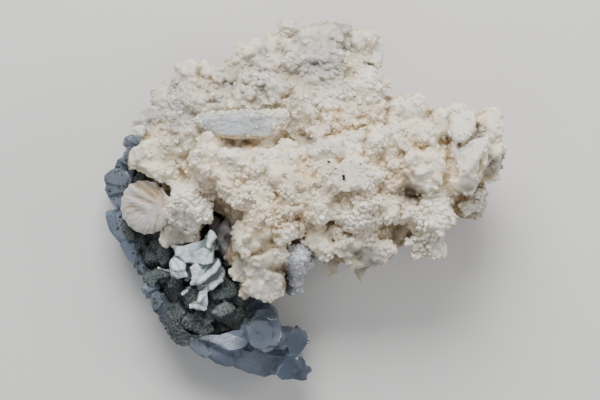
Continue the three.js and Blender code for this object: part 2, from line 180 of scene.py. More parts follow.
class Finish:
    def __init__(self, name, **fixed):
        self.material = bpy.data.materials.new(name)
        self.material.use_nodes = True
        tree = self.material.node_tree
        self.shader = tree.nodes["Principled BSDF"]
        self.wire = Wire(tree, None)
        for key, value in fixed.items():
            self.shader.inputs[key.replace("_", " ")].default_value = value
        self.place = self.wire.out(self.wire.node("ShaderNodeTexCoord"), "Object")

    def noise(self, size, detail=3.0, rough=0.55):
        return self.wire.out(self.wire.node("ShaderNodeTexNoise", Vector=self.place, Scale=1 / size,
                                            Detail=detail, Roughness=rough), "Fac")

    def cells(self, size):
        return self.wire.out(self.wire.node("ShaderNodeTexVoronoi", Vector=self.place, Scale=1 / size),
                             "Distance")

    def attribute(self, name):
        return self.wire.out(self.wire.node("ShaderNodeAttribute", {"attribute_name": name}), "Fac")

    def bump(self, height, depth):
        return self.wire.out(self.wire.node("ShaderNodeBump", Strength=1.0, Distance=depth, Height=height),
                             "Normal")

    def feed(self, **links):
        for key, value in links.items():
            self.wire.tree.links.new(value.socket, self.shader.inputs[key.replace("_", " ")])


def linear(*levels):  # a colour as a monitor shows it, 0 to 255
    return tuple(((level / 255 + 0.055) / 1.055) ** 2.4 if level > 10 else level / 255 / 12.92
                 for level in levels)


floorFinish = Finish("paleFloorFinish", Roughness=0.9)
floorTone = floorFinish.noise(0.4, 4).between(0.2, 0.8)
floorFinish.feed(Base_Color=floorTone.mixed(studio["floorColour"],
                                            tuple(c * 1.03 for c in studio["floorColour"])))
floor.data.materials.append(floorFinish.material)


def calciteFinish(name, light, deep, paleAndHighlight, roughness, grainSize, grainDepth, subsurface):
    finish = Finish(name, Subsurface_Weight=subsurface, Subsurface_Radius=(1.0, 0.94, 0.84),
                    Subsurface_Scale=0.0012, IOR=1.55, Specular_IOR_Level=0.4)
    keys = ("recessShade", "warmth", "tone", "grey", "shade")
    recessShade, warmth, tone, grey, shade = (finish.attribute(key) for key in keys)
    stainAndShadeTint, clear, gloom = linear(227, 202, 162), linear(162, 163, 162), linear(104, 92, 80)
    patches = finish.noise(0.008, 3)
    mottle = finish.noise(0.0022, 4, 0.62)
    grains = finish.cells(grainSize)
    fine = finish.noise(0.0006, 3)
    # painted shade: hollows and seams darken towards the deep tone, with a random mottle
    hollowShade = recessShade.between(0.24, 0.86) + (mottle - 0.5) * 0.4
    colour = hollowShade.clipped().mixed(linear(*light), linear(*deep))
    # ochre tint: the calcite's own stain, plus painted warm shade where warmth marks shaded faces and
    # grooves, with random patches
    stainAndShadeShare = warmth * 1.4 * mottle.between(0.3, 0.7) + (patches - 0.5) * 1.1
    colour = stainAndShadeShare.clipped().mixed(colour, stainAndShadeTint)
    colour = (grey * 0.8 + (0.42 - patches) * 1.2).clipped().mixed(colour, clear)
    # painted highlight: high places turn pale; the white places from tone are the calcite's own white
    highlightAndWhite = (0.34 - recessShade) * 1.8 * mottle.between(0.36, 0.62) + tone * 0.7
    colour = highlightAndWhite.clipped().mixed(colour, linear(*paleAndHighlight))
    colour = (shade * (0.7 + mottle * 0.5)).clipped().mixed(colour, gloom)
    height = (1 - grains) * 0.6 + fine * 0.5 + mottle * 0.6
    finish.feed(Base_Color=colour, Roughness=(fine * 0.3 + (roughness - 0.15) - grey * 0.1).clipped(),
                Normal=finish.bump(height, grainDepth))
    return finish.material


calcites = {
    # light tone, deep tone for painted shade in hollows, pale tone for white places and painted highlights,
    # roughness, size and depth of the grains, share of subsurface light
    "creamCalcite": ((243, 231, 208), (188, 170, 140), (250, 245, 236), 0.5, 0.0011, 0.0003, 0.75),
    "bladeCalcite": ((222, 219, 208), (182, 166, 136), (246, 246, 242), 0.34, 0.0018, 0.00016, 0.75),
    "peachCalcite": ((206, 203, 200), (164, 150, 134), (236, 234, 232), 0.42, 0.0016, 0.00012, 0.75),
    "sugarCalcite": ((236, 224, 202), (188, 168, 136), (248, 244, 236), 0.36, 0.0009, 0.00008, 0),
    "mauveCalcite": ((182, 180, 184), (122, 114, 110), (208, 208, 214), 0.4, 0.0016, 0.0002, 0.2),
    "whiteCalcite": ((216, 231, 240), (136, 146, 148), (246, 250, 254), 0.26, 0.0018, 0.00008, 0.75),
    "greyCalcite": ((202, 207, 211), (164, 159, 144), (240, 245, 249), 0.34, 0.0011, 0.0004, 0.75),
    "fingerFinish": ((176, 178, 186), (92, 90, 96), (236, 239, 246), 0.36, 0.0008, 0.0001, 0),
    "sugaryCalcite": ((190, 192, 198), (104, 102, 106), (232, 235, 242), 0.42, 0.0008, 0.0003, 0.75),
}

(creamCalcite, bladeCalcite, peachCalcite, sugarCalcite, mauveCalcite, whiteCalcite,
 greyCalcite, fingerFinish, sugaryCalcite) = (calciteFinish(name, *row) for name, row in calcites.items())


def quartzFinish():
    finish = Finish("milkyQuartz", Transmission_Weight=0.4, IOR=1.544)
    veils = finish.noise(0.007, 4, 0.6)
    wisps = finish.noise(0.0018, 4, 0.6)
    frost = finish.noise(0.0005, 2)
    dust, milk = finish.attribute("dust"), finish.attribute("milk")
    cloudy = veils * 0.8 + wisps * 0.4 - 0.1 + milk * 0.7
    colour = cloudy.clipped().mixed(linear(84, 97, 114), linear(136, 147, 164))
    colour = ((milk - 0.3) * (0.6 + wisps * 0.8)).clipped().mixed(colour, linear(146, 164, 190))
    haze = (dust * 0.75).clipped().mixed(colour, linear(96, 104, 100))
    speckle = (finish.noise(0.0008, 4, 0.75).between(0.47, 0.6) * dust.between(0.05, 0.75)).clipped()
    colour = speckle.mixed(haze, linear(48, 52, 42))
    colour = (finish.cells(0.0015).between(0.26, 0.1) * dust * 0.4).mixed(colour, linear(150, 148, 122))
    finish.feed(Base_Color=colour, Roughness=(frost * 0.2 + 0.1 + dust * 0.5 + milk * 0.1).clipped(),
                Normal=finish.bump(wisps * 0.7 + frost * 0.25, 0.00022))
    return finish.material


def chloriteFinish():
    finish = Finish("chloriteDust", Specular_IOR_Level=0.3)
    mottle = finish.noise(0.0045, 4, 0.6)
    speck = finish.noise(0.0008, 4, 0.78)
    light = finish.noise(0.0007, 4, 0.8)
    bedShade, ash = finish.attribute("recessShade"), finish.attribute("ash")
    ashen = mottle.between(0.3, 0.7) * 0.6 + ash * 0.6
    colour = ashen.clipped().mixed(linear(76, 86, 86), linear(124, 134, 136))
    colour = (speck.between(0.47, 0.6) * 0.85).mixed(colour, linear(34, 38, 31))
    colour = (light.between(0.55, 0.66) * (0.4 + ash * 0.6)).clipped().mixed(colour, linear(172, 170, 150))
    # painted shade: the bed darkens towards near black where recessShade is high
    colour = (bedShade * 0.9).clipped().mixed(colour, linear(24, 27, 23))
    finish.feed(Base_Color=colour, Roughness=(speck * 0.3 + 0.55).clipped(),
                Normal=finish.bump(speck * 0.8 + mottle * 0.4, 0.00045))
    return finish.material


milkyQuartz = quartzFinish()
chloriteDust = chloriteFinish()


zones = {
    # x, y, reach in mm, how strong; read off the picture. Ochre tint: partly the calcite's own stain,
    # partly painted warm shade in recesses
    "ochreAndWarmShade": [
        (-13, -8, 8, 1), (-9, -2, 6, 0.7), (-15, -1, 5, 0.6), (14, 42, 4, 1), (-17, 17.5, 4, 1),
        (-33, 27, 4, 0.7), (-40, 19, 6, 0.6), (-44, 24, 4, 0.5), (18, -5, 7, 0.7), (31, 6, 5, 0.8),
        (45, 14, 4, 0.7), (46, 6, 4, 0.8), (0, 8, 8, 0.6), (37, 18, 3, 0.7), (20, 30, 6, 0.6),
        (-29, 9, 6, 0.7), (-6, 34, 4, 0.6), (-17, 32, 4, 0.6), (9, 28, 5, 0.7), (-9, 22.5, 4, 0.9),
        (-27, 25.5, 3, 0.4), (12, 24, 4, 0.6), (-2, -6, 5, 0.6), (5, 5, 5, 0.5), (-18, 37, 4, 0.7),
        (22, 13, 5, 0.5), (-24, 3, 5, 0.4), (-34, 0, 4, 0.5), (-30, 38, 3, 0.5), (-5, 41, 5, 0.4),
    ],
    # grey, almost clear calcite
    "grey": [
        (-45, 33, 5, 0.9), (-36, 28, 4, 0.8), (-27, 31, 4, 0.9), (-8, 37, 4, 0.7), (12, 56, 4, 1),
        (5, 50, 9, 0.6), (56, 21, 4, 0.7), (62, 12, 4, 0.9), (55, 0, 6, 0.8), (-22, 41, 5, 0.8),
        (-53, 14, 5, 0.5), (38, -15, 5, 0.7), (20, -18, 7, 0.9), (-12, 48, 6, 0.7), (-38, 40, 5, 0.6),
        (-4, 54, 4, 0.5), (2, 32, 4, 0.6), (50, 14, 5, 0.6), (-21, -23, 4, 0.8), (8, -22, 4, 0.35),
        (18, -24, 3, 0.35), (-41, -11, 5, 0.8), (6, -13, 5, 0.4), (2, 19, 3, 0.6), (-36, -20, 7, 0.35),
        (4, 47, 16, 1.1), (-40, 31, 14, 0.9), (-16, 38, 14, 0.85), (22, 38, 9, 0.4), (-12, -26, 8, 0.8),
        (38, -16, 8, 0.4),
    ],
    # white sugary skin
    "white": [
        (18, -6, 8, 0.5), (50, 19, 11, 0.45), (-35, -3, 7, 0.9), (41, -3, 7, 0.6), (-22, 18, 4, 0.8),
        (24, 46, 4, 1), (5, 21, 4, 0.5), (-52, 23, 3, 1), (0, 25, 4, 0.5), (33, 30, 6, 0.8),
        (48, 27, 6, 0.7), (60, 26, 5, 0.6), (18, 37, 5, 0.8), (-13, 39, 3, 0.9), (-13, -28, 3, 0.9),
        (43, -15, 3, 1), (16, 19, 4, 0.8), (25, 20, 4, 0.7), (36, 5, 4, 0.5), (8, 33, 4, 0.6),
        (-24, -9, 2, 0.9), (-35, -8, 3, 0.8), (6, 16, 5, 0.5), (-10, 14, 5, 0.4), (45, 22, 4, 0.6),
        (57, 3, 3, 0.6), (-2, -17, 4, 0.7), (20, 8, 6, 0.5),
    ],
    # deep shade under overhangs
    "shade": [
        (-24.5, -13, 4, 0.75), (-25, -8, 3, 0.8), (18, -18, 3, 0.5), (34, 2.5, 3.4, 1), (30, 4, 2.4, 0.6),
        (-22.5, 18.7, 2.2, 0.8), (-19, 18.2, 2, 0.7), (56, 5, 2.2, 0.4), (60, 9, 2.2, 0.35),
        (31, 2.6, 2.6, 0.8), (50, -7, 3, 0.5), (-6.6, -22, 2, 0.6), (-5.6, -27, 1.6, 0.9),
        (-4, 34, 2.4, 0.4), (14, 41, 2, 0.5), (-29, -1, 2, 0.5), (54, 11, 2, 0.3), (52, 3.5, 2.4, 0.4),
        (-28, -9, 3, 0.6), (30, -9, 3, 0.3), (20, -20, 6, 0.3), (36, -16, 5, 0.25), (-40, -11, 4, 0.4),
        (-43, -12, 3, 0.4), (13, -17, 5, 0.3), (-25, -18, 3, 0.7),
    ],
    # smooth faces without sugar
    "smooth": [
        (-50, 28, 5, 1), (-45, 33, 4, 1), (-37, 41, 5, 1), (-32, 42, 3, 1), (-22, 41, 4, 1),
        (-16, 48, 4, 1), (-10, 49, 4, 1), (6, 51, 9, 1), (-8, 36, 4, 1), (40, 10, 8, 1), (48, 25, 7, 1),
        (60, 25, 4, 1), (56, 13, 6, 1), (-12, -18, 6, 1), (-12, -27, 8, 1), (-21, -22, 4, 1),
        (-8, 8, 4, 0.8), (-17, -12, 5, 1), (5, -13, 5, 1), (18, -18, 8, 1), (-53, 14, 5, 1),
        (-50, 18, 5, 0.8), (36, 29, 4, 0.6), (50, 6, 5, 1), (-52, 23, 4, 1), (-19, 24, 12, 1),
        (24, 46, 4, 0.8), (32, 6, 4, 0.8), (-24, -15, 5, 1), (-41, -12, 5, 1),
    ],
}


# seams and gaps between the lumps, carved and darkened with painted shade: width, depth, then the line in
# mm
cracks = [
    (0.7, 1.4, [(-36.5, 37.5), (-33, 36)]), (0.7, 1.6, [(-33.4, 42), (-33, 39.6), (-31, 39), (-28, 38)]),
    (0.6, 2.2, [(-31, 34.5), (-30, 31.6), (-26.5, 31.4)]), (0.9, 1.6, [(-24, 34.6), (-23.6, 31)]),
    (0.9, 1.8, [(-35, 27.4), (-33, 25.4), (-31, 26.4)]),
    (0.6, 1.4, [(-46, 24.6), (-42, 24.4), (-41.6, 18.6)]),
    (0.9, 1.4, [(-42, 15), (-38.6, 13.2), (-34, 18)]), (0.7, 2.2, [(-40.6, 11.6), (-38.5, 9), (-36, 7.4)]),
    (0.6, 1.8, [(-37, 14.4), (-36, 11)]), (0.8, 2.0, [(-50.7, 20), (-51, 23)]),
    (1.2, 2.4, [(-56, 10.4), (-51, 9.2)]), (0.9, 2.0, [(-17, 43), (-13, 41.6), (-9, 40.9)]),
    (0.8, 1.6, [(-4, 41), (0, 40.4)]), (0.9, 2.4, [(-3.4, 34.6), (-6.6, 33.2)]),
    (0.8, 1.4, [(-12, 33.2), (-13, 36.6)]), (1.0, 2.2, [(6.2, 38.4), (6.8, 38)]),
    (0.9, 1.6, [(7.4, 35.2), (7.8, 34.6)]), (1.3, 2.8, [(13.2, 40.2), (14.8, 41.8), (16, 40.6)]),
    (0.7, 1.6, [(9, 51.2), (12.8, 51.8), (14.8, 52.4)]),
    (1.0, 1.8, [(4, 28.6), (9, 28.9), (13.6, 27.6), (16, 27), (20, 25.6)]),
    (0.8, 1.6, [(24.6, 34), (23.6, 29.6)]), (0.9, 2.8, [(4.5, 26), (4.8, 25)]),
    (1.0, 2.0, [(10.2, 25.6), (12, 24)]), (1.6, 3.6, [(-0.5, 21), (2, 19.4), (3.6, 18)]),
    (0.9, 2.4, [(6, 20), (8, 20.6), (12, 22.6), (20, 23.4), (24, 24.6), (26, 26.4)]),
    (1.1, 3.0, [(26, 25), (27.2, 31), (27.2, 36)]), (0.8, 2.6, [(19, 14.6), (19.4, 19), (20.4, 22)]),
    (0.9, 2.0, [(20, 12), (24, 11.6), (29.6, 8.8)]), (0.8, 2.0, [(31, 12), (30.8, 9.6)]),
    (1.0, 2.0, [(35, 17.6), (38, 16.8), (39.6, 18)]), (0.6, 1.0, [(34, 24), (37, 24)]),
    (0.8, 2.2, [(46.2, 27), (46.4, 22), (45.8, 16), (46.4, 10), (47, 7.6)]),
    (0.7, 2.0, [(54.8, 27), (54.6, 22), (57, 20)]), (0.6, 1.4, [(40.4, 28), (41.4, 24)]),
    (1.8, 5.0, [(30.4, 4), (33, 3.2), (36, 1.6)]), (1.2, 3.4, [(36.4, 0.6), (31, 2.4), (28.4, 3.4)]),
    (0.5, 1.2, [(31, -0.8), (30.4, -5), (30, -10)]), (1.0, 2.6, [(50, 3), (52, 1.4)]),
    (1.5, 3.0, [(51, 2.6), (56, 4.8), (60, 8.6), (63.4, 12)]), (0.6, 1.6, [(15, -1), (15.3, -4)]),
    (0.6, 1.6, [(22, -7.4), (27, -8.2)]), (0.6, 1.6, [(12, -8), (17, -9.6), (21, -8)]),
    (1.6, 2.0, [(17, -17), (18.6, -18.6)]),
    (0.9, 3.0, [(-32, 3), (-30, 0.2), (-28, -1), (-26.4, -4), (-25, -6)]),
    (0.7, 1.4, [(-19, 5.6), (-14, 5.2)]), (0.7, 1.8, [(-9, 3.4), (-8.6, 1)]),
    (1.0, 2.2, [(-1, 3.6), (5, 4.8)]), (0.8, 1.8, [(1.6, 2.2), (2.6, 1.4)]),
    (0.7, 1.6, [(-8, -1.6), (-2, -1.4)]), (0.7, 1.8, [(-4, -4.6), (-1, -5.4)]),
    (0.8, 1.8, [(2, -6), (3.4, -7.4)]), (1.0, 1.8, [(-14, -8.2), (-8, -8.6), (-5.4, -6.4)]),
    (1.0, 2.4, [(-9.8, -12), (-8, -11.6)]), (0.7, 2.0, [(-18.4, -17.4), (-14, -16.4), (-10, -15)]),
    (0.9, 3.2, [(-12, -21.6), (-8, -21.8), (-5.6, -21)]), (1.0, 3.0, [(0.4, -9), (0.6, -13), (2, -16.6)]),
    (0.8, 1.8, [(7.6, -9), (8.6, -13)]), (0.9, 3.4, [(-5.8, -25.4), (-5.6, -28.6)]),
    (0.8, 2.6, [(-22.6, -12), (-22.4, -17), (-24, -20)]),
    (1.0, 2.4, [(-25, 20.4), (-20, 19), (-16, 17.8)]), (0.8, 1.6, [(-43.4, 4), (-43.6, -2), (-42, -6)]),
]


def noiseAt(points, scale):
    return np.array([noise.noise(Vector(point) * scale) for point in points])


def gapToLine(points, line):  # from above, in metres
    gap = np.full(len(points), np.inf)
    for start, end in zip(line[:-1], line[1:]):
        start, end = np.array(start) * mm, np.array(end) * mm
        along = np.clip((points[:, :2] - start) @ (end - start) / ((end - start) @ (end - start)), 0, 1)
        gap = np.minimum(gap, np.linalg.norm(points[:, :2] - start - along[:, None] * (end - start),
                                             axis=1))
    return gap


# share: painted shade in the seams; depth: how deep they are carved
def crackShare(points, wider=1.0):
    share, depth = np.zeros(len(points)), np.zeros(len(points))
    fullDepth = 2.4  # mm, a crack as deep as this has the full colour
    for width, deep, line in cracks:
        near = np.exp(-(gapToLine(points, line) / (width * wider * mm)) ** 2)
        share = np.maximum(share, near * min(1, deep / fullDepth))
        depth = np.maximum(depth, near * deep * mm)
    uneven = np.clip(0.62 + 0.9 * noiseAt(points, 220), 0.1, 1.1)
    return share * uneven, depth * uneven * 0.8


def placesOn(points, rows, edge=1.4):  # 1 in the middle of a place, 0 at edge times its reach
    share = np.zeros(len(points))
    for x, y, reach, amount in rows:
        away = np.hypot(points[:, 0] - x * mm, points[:, 1] - y * mm) / (reach * mm)
        share = np.maximum(share, amount * np.clip(edge - away, 0, 1))
    return share


def zoneShare(points, name):
    return placesOn(points, zones[name], 1.35)


def copyOfNode(node, name):
    piece = bpy.data.objects.new(name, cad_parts[node].data.copy())
    bpy.context.scene.collection.objects.link(piece)
    piece.data.materials.clear()
    pick(piece)
    bpy.ops.object.mode_set(mode="EDIT")
    bpy.ops.mesh.select_all(action="SELECT")
    bpy.ops.mesh.remove_doubles(threshold=0.00001)
    bpy.ops.object.mode_set(mode="OBJECT")
    return piece


def applied(piece, kind, **settings):
    pick(piece)
    modifier = piece.modifiers.new(kind, kind)
    for key, value in settings.items():
        setattr(modifier, key, value)
    bpy.ops.object.modifier_apply(modifier=modifier.name)
    # the remesh differs in the last bit from run to run, so its corners go to a fine grid
    if kind == "REMESH":
        moveCorners(piece, np.round(cornersOf(piece), 6))


def remeshed(piece, size):
    applied(piece, "REMESH", mode="VOXEL", voxel_size=size)


def settled(piece, rounds):
    applied(piece, "SMOOTH", factor=0.5, iterations=rounds)


def roughened(piece, texture, lift, middle=0.5):
    applied(piece, "DISPLACE", texture=texture, texture_coords="LOCAL", mid_level=middle, strength=lift)


def smoothShaded(piece, angle):  # degrees, edges sharper than this stay sharp
    piece.data.polygons.foreach_set("use_smooth", np.full(len(piece.data.polygons), True))
    pick(piece)
    bpy.ops.object.shade_smooth_by_angle(angle=math.radians(angle))


def surfaceTexture(name, kind, size, **settings):
    texture = bpy.data.textures.new(name, kind)
    texture.noise_scale = size
    for key, value in settings.items():
        setattr(texture, key, value)
    return texture


def cornersOf(piece):
    corners = np.empty(len(piece.data.vertices) * 3)
    piece.data.vertices.foreach_get("co", corners)
    return corners.reshape(-1, 3)


def moveCorners(piece, corners):
    piece.data.vertices.foreach_set("co", np.ascontiguousarray(corners, dtype=np.float32).ravel())
    piece.data.update()


def trianglesOf(piece):
    mesh = piece.data
    mesh.calc_loop_triangles()
    corners = np.empty(len(mesh.loop_triangles) * 3, dtype=np.int64)
    mesh.loop_triangles.foreach_get("vertices", corners)
    return corners.reshape(-1, 3)


def treeOf(*pieces):
    allCorners, allFaces, count = [], [], 0
    for piece in pieces:
        corners = cornersOf(piece)
        allCorners.append(corners)
        allFaces.append(trianglesOf(piece) + count)
        count += len(corners)
    return BVHTree.FromPolygons(np.concatenate(allCorners).tolist(), np.concatenate(allFaces).tolist())


def setFloat(piece, name, values):
    layer = piece.data.attributes.get(name) or piece.data.attributes.new(name, "FLOAT", "POINT")
    layer.data.foreach_set("value", np.ascontiguousarray(values, dtype=np.float32))


def seedShape(piece):
    applied(piece, "TRIANGULATE")
    shape = cornersOf(piece), trianglesOf(piece)
    bpy.data.objects.remove(piece)
    return shape


def rhombSeed():
    deselectAll()
    bpy.ops.mesh.primitive_cube_add(size=1.5)
    seed = bpy.context.object
    bpy.ops.object.mode_set(mode="EDIT")
    bpy.ops.mesh.bevel(offset=0.16, segments=1, affect="EDGES")
    bpy.ops.object.mode_set(mode="OBJECT")
    corners = cornersOf(seed)
    leaned = np.array([[1, 0.12, 0.26], [0, 1, 0.2], [0, 0, 1]])
    moveCorners(seed, corners @ leaned.T)
    return seedShape(seed)


def grainSeed():
    deselectAll()
    bpy.ops.mesh.primitive_uv_sphere_add(segments=7, ring_count=5, radius=1)
    seed = bpy.context.object
    corners = cornersOf(seed)
    moveCorners(seed, corners * (1 + 0.22 * noiseAt(corners, 1.3)[:, None]))
    return seedShape(seed)


def scaleSeed():
    deselectAll()
    bpy.ops.mesh.primitive_cylinder_add(vertices=7, radius=1, depth=0.3)
    seed = bpy.context.object
    bpy.ops.object.mode_set(mode="EDIT")
    bpy.ops.mesh.bevel(offset=0.1, segments=1, affect="EDGES")
    bpy.ops.object.mode_set(mode="OBJECT")
    return seedShape(seed)


def spots(piece, count, random, weight=None):
    corners, faces = cornersOf(piece), trianglesOf(piece)
    a, b, c = (corners[faces[:, k]] for k in range(3))
    normals = np.cross(b - a, c - a)
    areas = np.linalg.norm(normals, axis=1)
    normals /= np.maximum(areas, 1e-20)[:, None]
    chance = areas * (weight((a + b + c) / 3, normals) if weight else 1)
    chosen = random.choice(len(faces), count, p=chance / chance.sum())
    u, v = random.random(count), random.random(count)
    flip = u + v > 1
    u[flip], v[flip] = 1 - u[flip], 1 - v[flip]
    places = a[chosen] + u[:, None] * (b - a)[chosen] + v[:, None] * (c - a)[chosen]
    return places, normals[chosen]


def turns(normals, random, tilt):
    axis = normals + tilt * random.normal(size=normals.shape)
    axis /= np.linalg.norm(axis, axis=1)[:, None]
    side = np.cross(axis, random.normal(size=normals.shape))
    side /= np.linalg.norm(side, axis=1)[:, None]
    return np.stack([side, np.cross(axis, side), axis], axis=2)


def scattered(name, shape, places, matrices, sizes, smooth=False):
    corners, faces = shape
    scaled = corners[None] * sizes[:, None, :]
    points = np.einsum("nij,nkj->nki", matrices, scaled) + places[:, None, :]
    joined = (faces[None] + (np.arange(len(places)) * len(corners))[:, None, None]).reshape(-1, 3)
    mesh = bpy.data.meshes.new(name)
    mesh.from_pydata(points.reshape(-1, 3).tolist(), [], joined.tolist())
    piece = bpy.data.objects.new(name, mesh)
    bpy.context.scene.collection.objects.link(piece)
    mesh.polygons.foreach_set("use_smooth", np.full(len(mesh.polygons), smooth))
    return piece


def sizesOf(count, random, low, high, flat=1.0):
    size = low + (high - low) * random.random(count) ** 1.6
    stretch = 0.75 + 0.5 * random.random((count, 3))
    return size[:, None] * stretch * np.array([1, 1, flat])


crown = {
    "voxel": 0.39 * mm, "fuse": 0.9 * mm,  # gaps narrower than twice the second grow shut
    "coarseVoxel": 0.9 * mm, "lumpVoxel": 0.7 * mm, "massVoxel": 0.6 * mm, "edgeVoxel": 0.45 * mm,
    "plateVoxel": 0.4 * mm,
    "massSwell": 2.2 * mm, "edgeSwell": 1.2 * mm, "swellSize": 4 * mm,
    "plateWaves": [("bladeWave", 5 * mm, 1.2 * mm), ("bladeChips", 1.4 * mm, 0.5 * mm)],  # size, lift
    "crackWaver": 0.9 * mm,
    "lumps": 620, "lumpSize": (1.2 * mm, 3.4 * mm),
    "settle": 4,  # rounds of smoothing
    "waveSize": 3.2 * mm, "waveLift": 1.0 * mm,
    "buds": [(6.5 * mm, 3.0 * mm), (3.2 * mm, 1.3 * mm)],  # size, lift
    "wallBuds": (4.6 * mm, 2.4 * mm),
    "faces": 190000,  # triangles kept in the skin
}

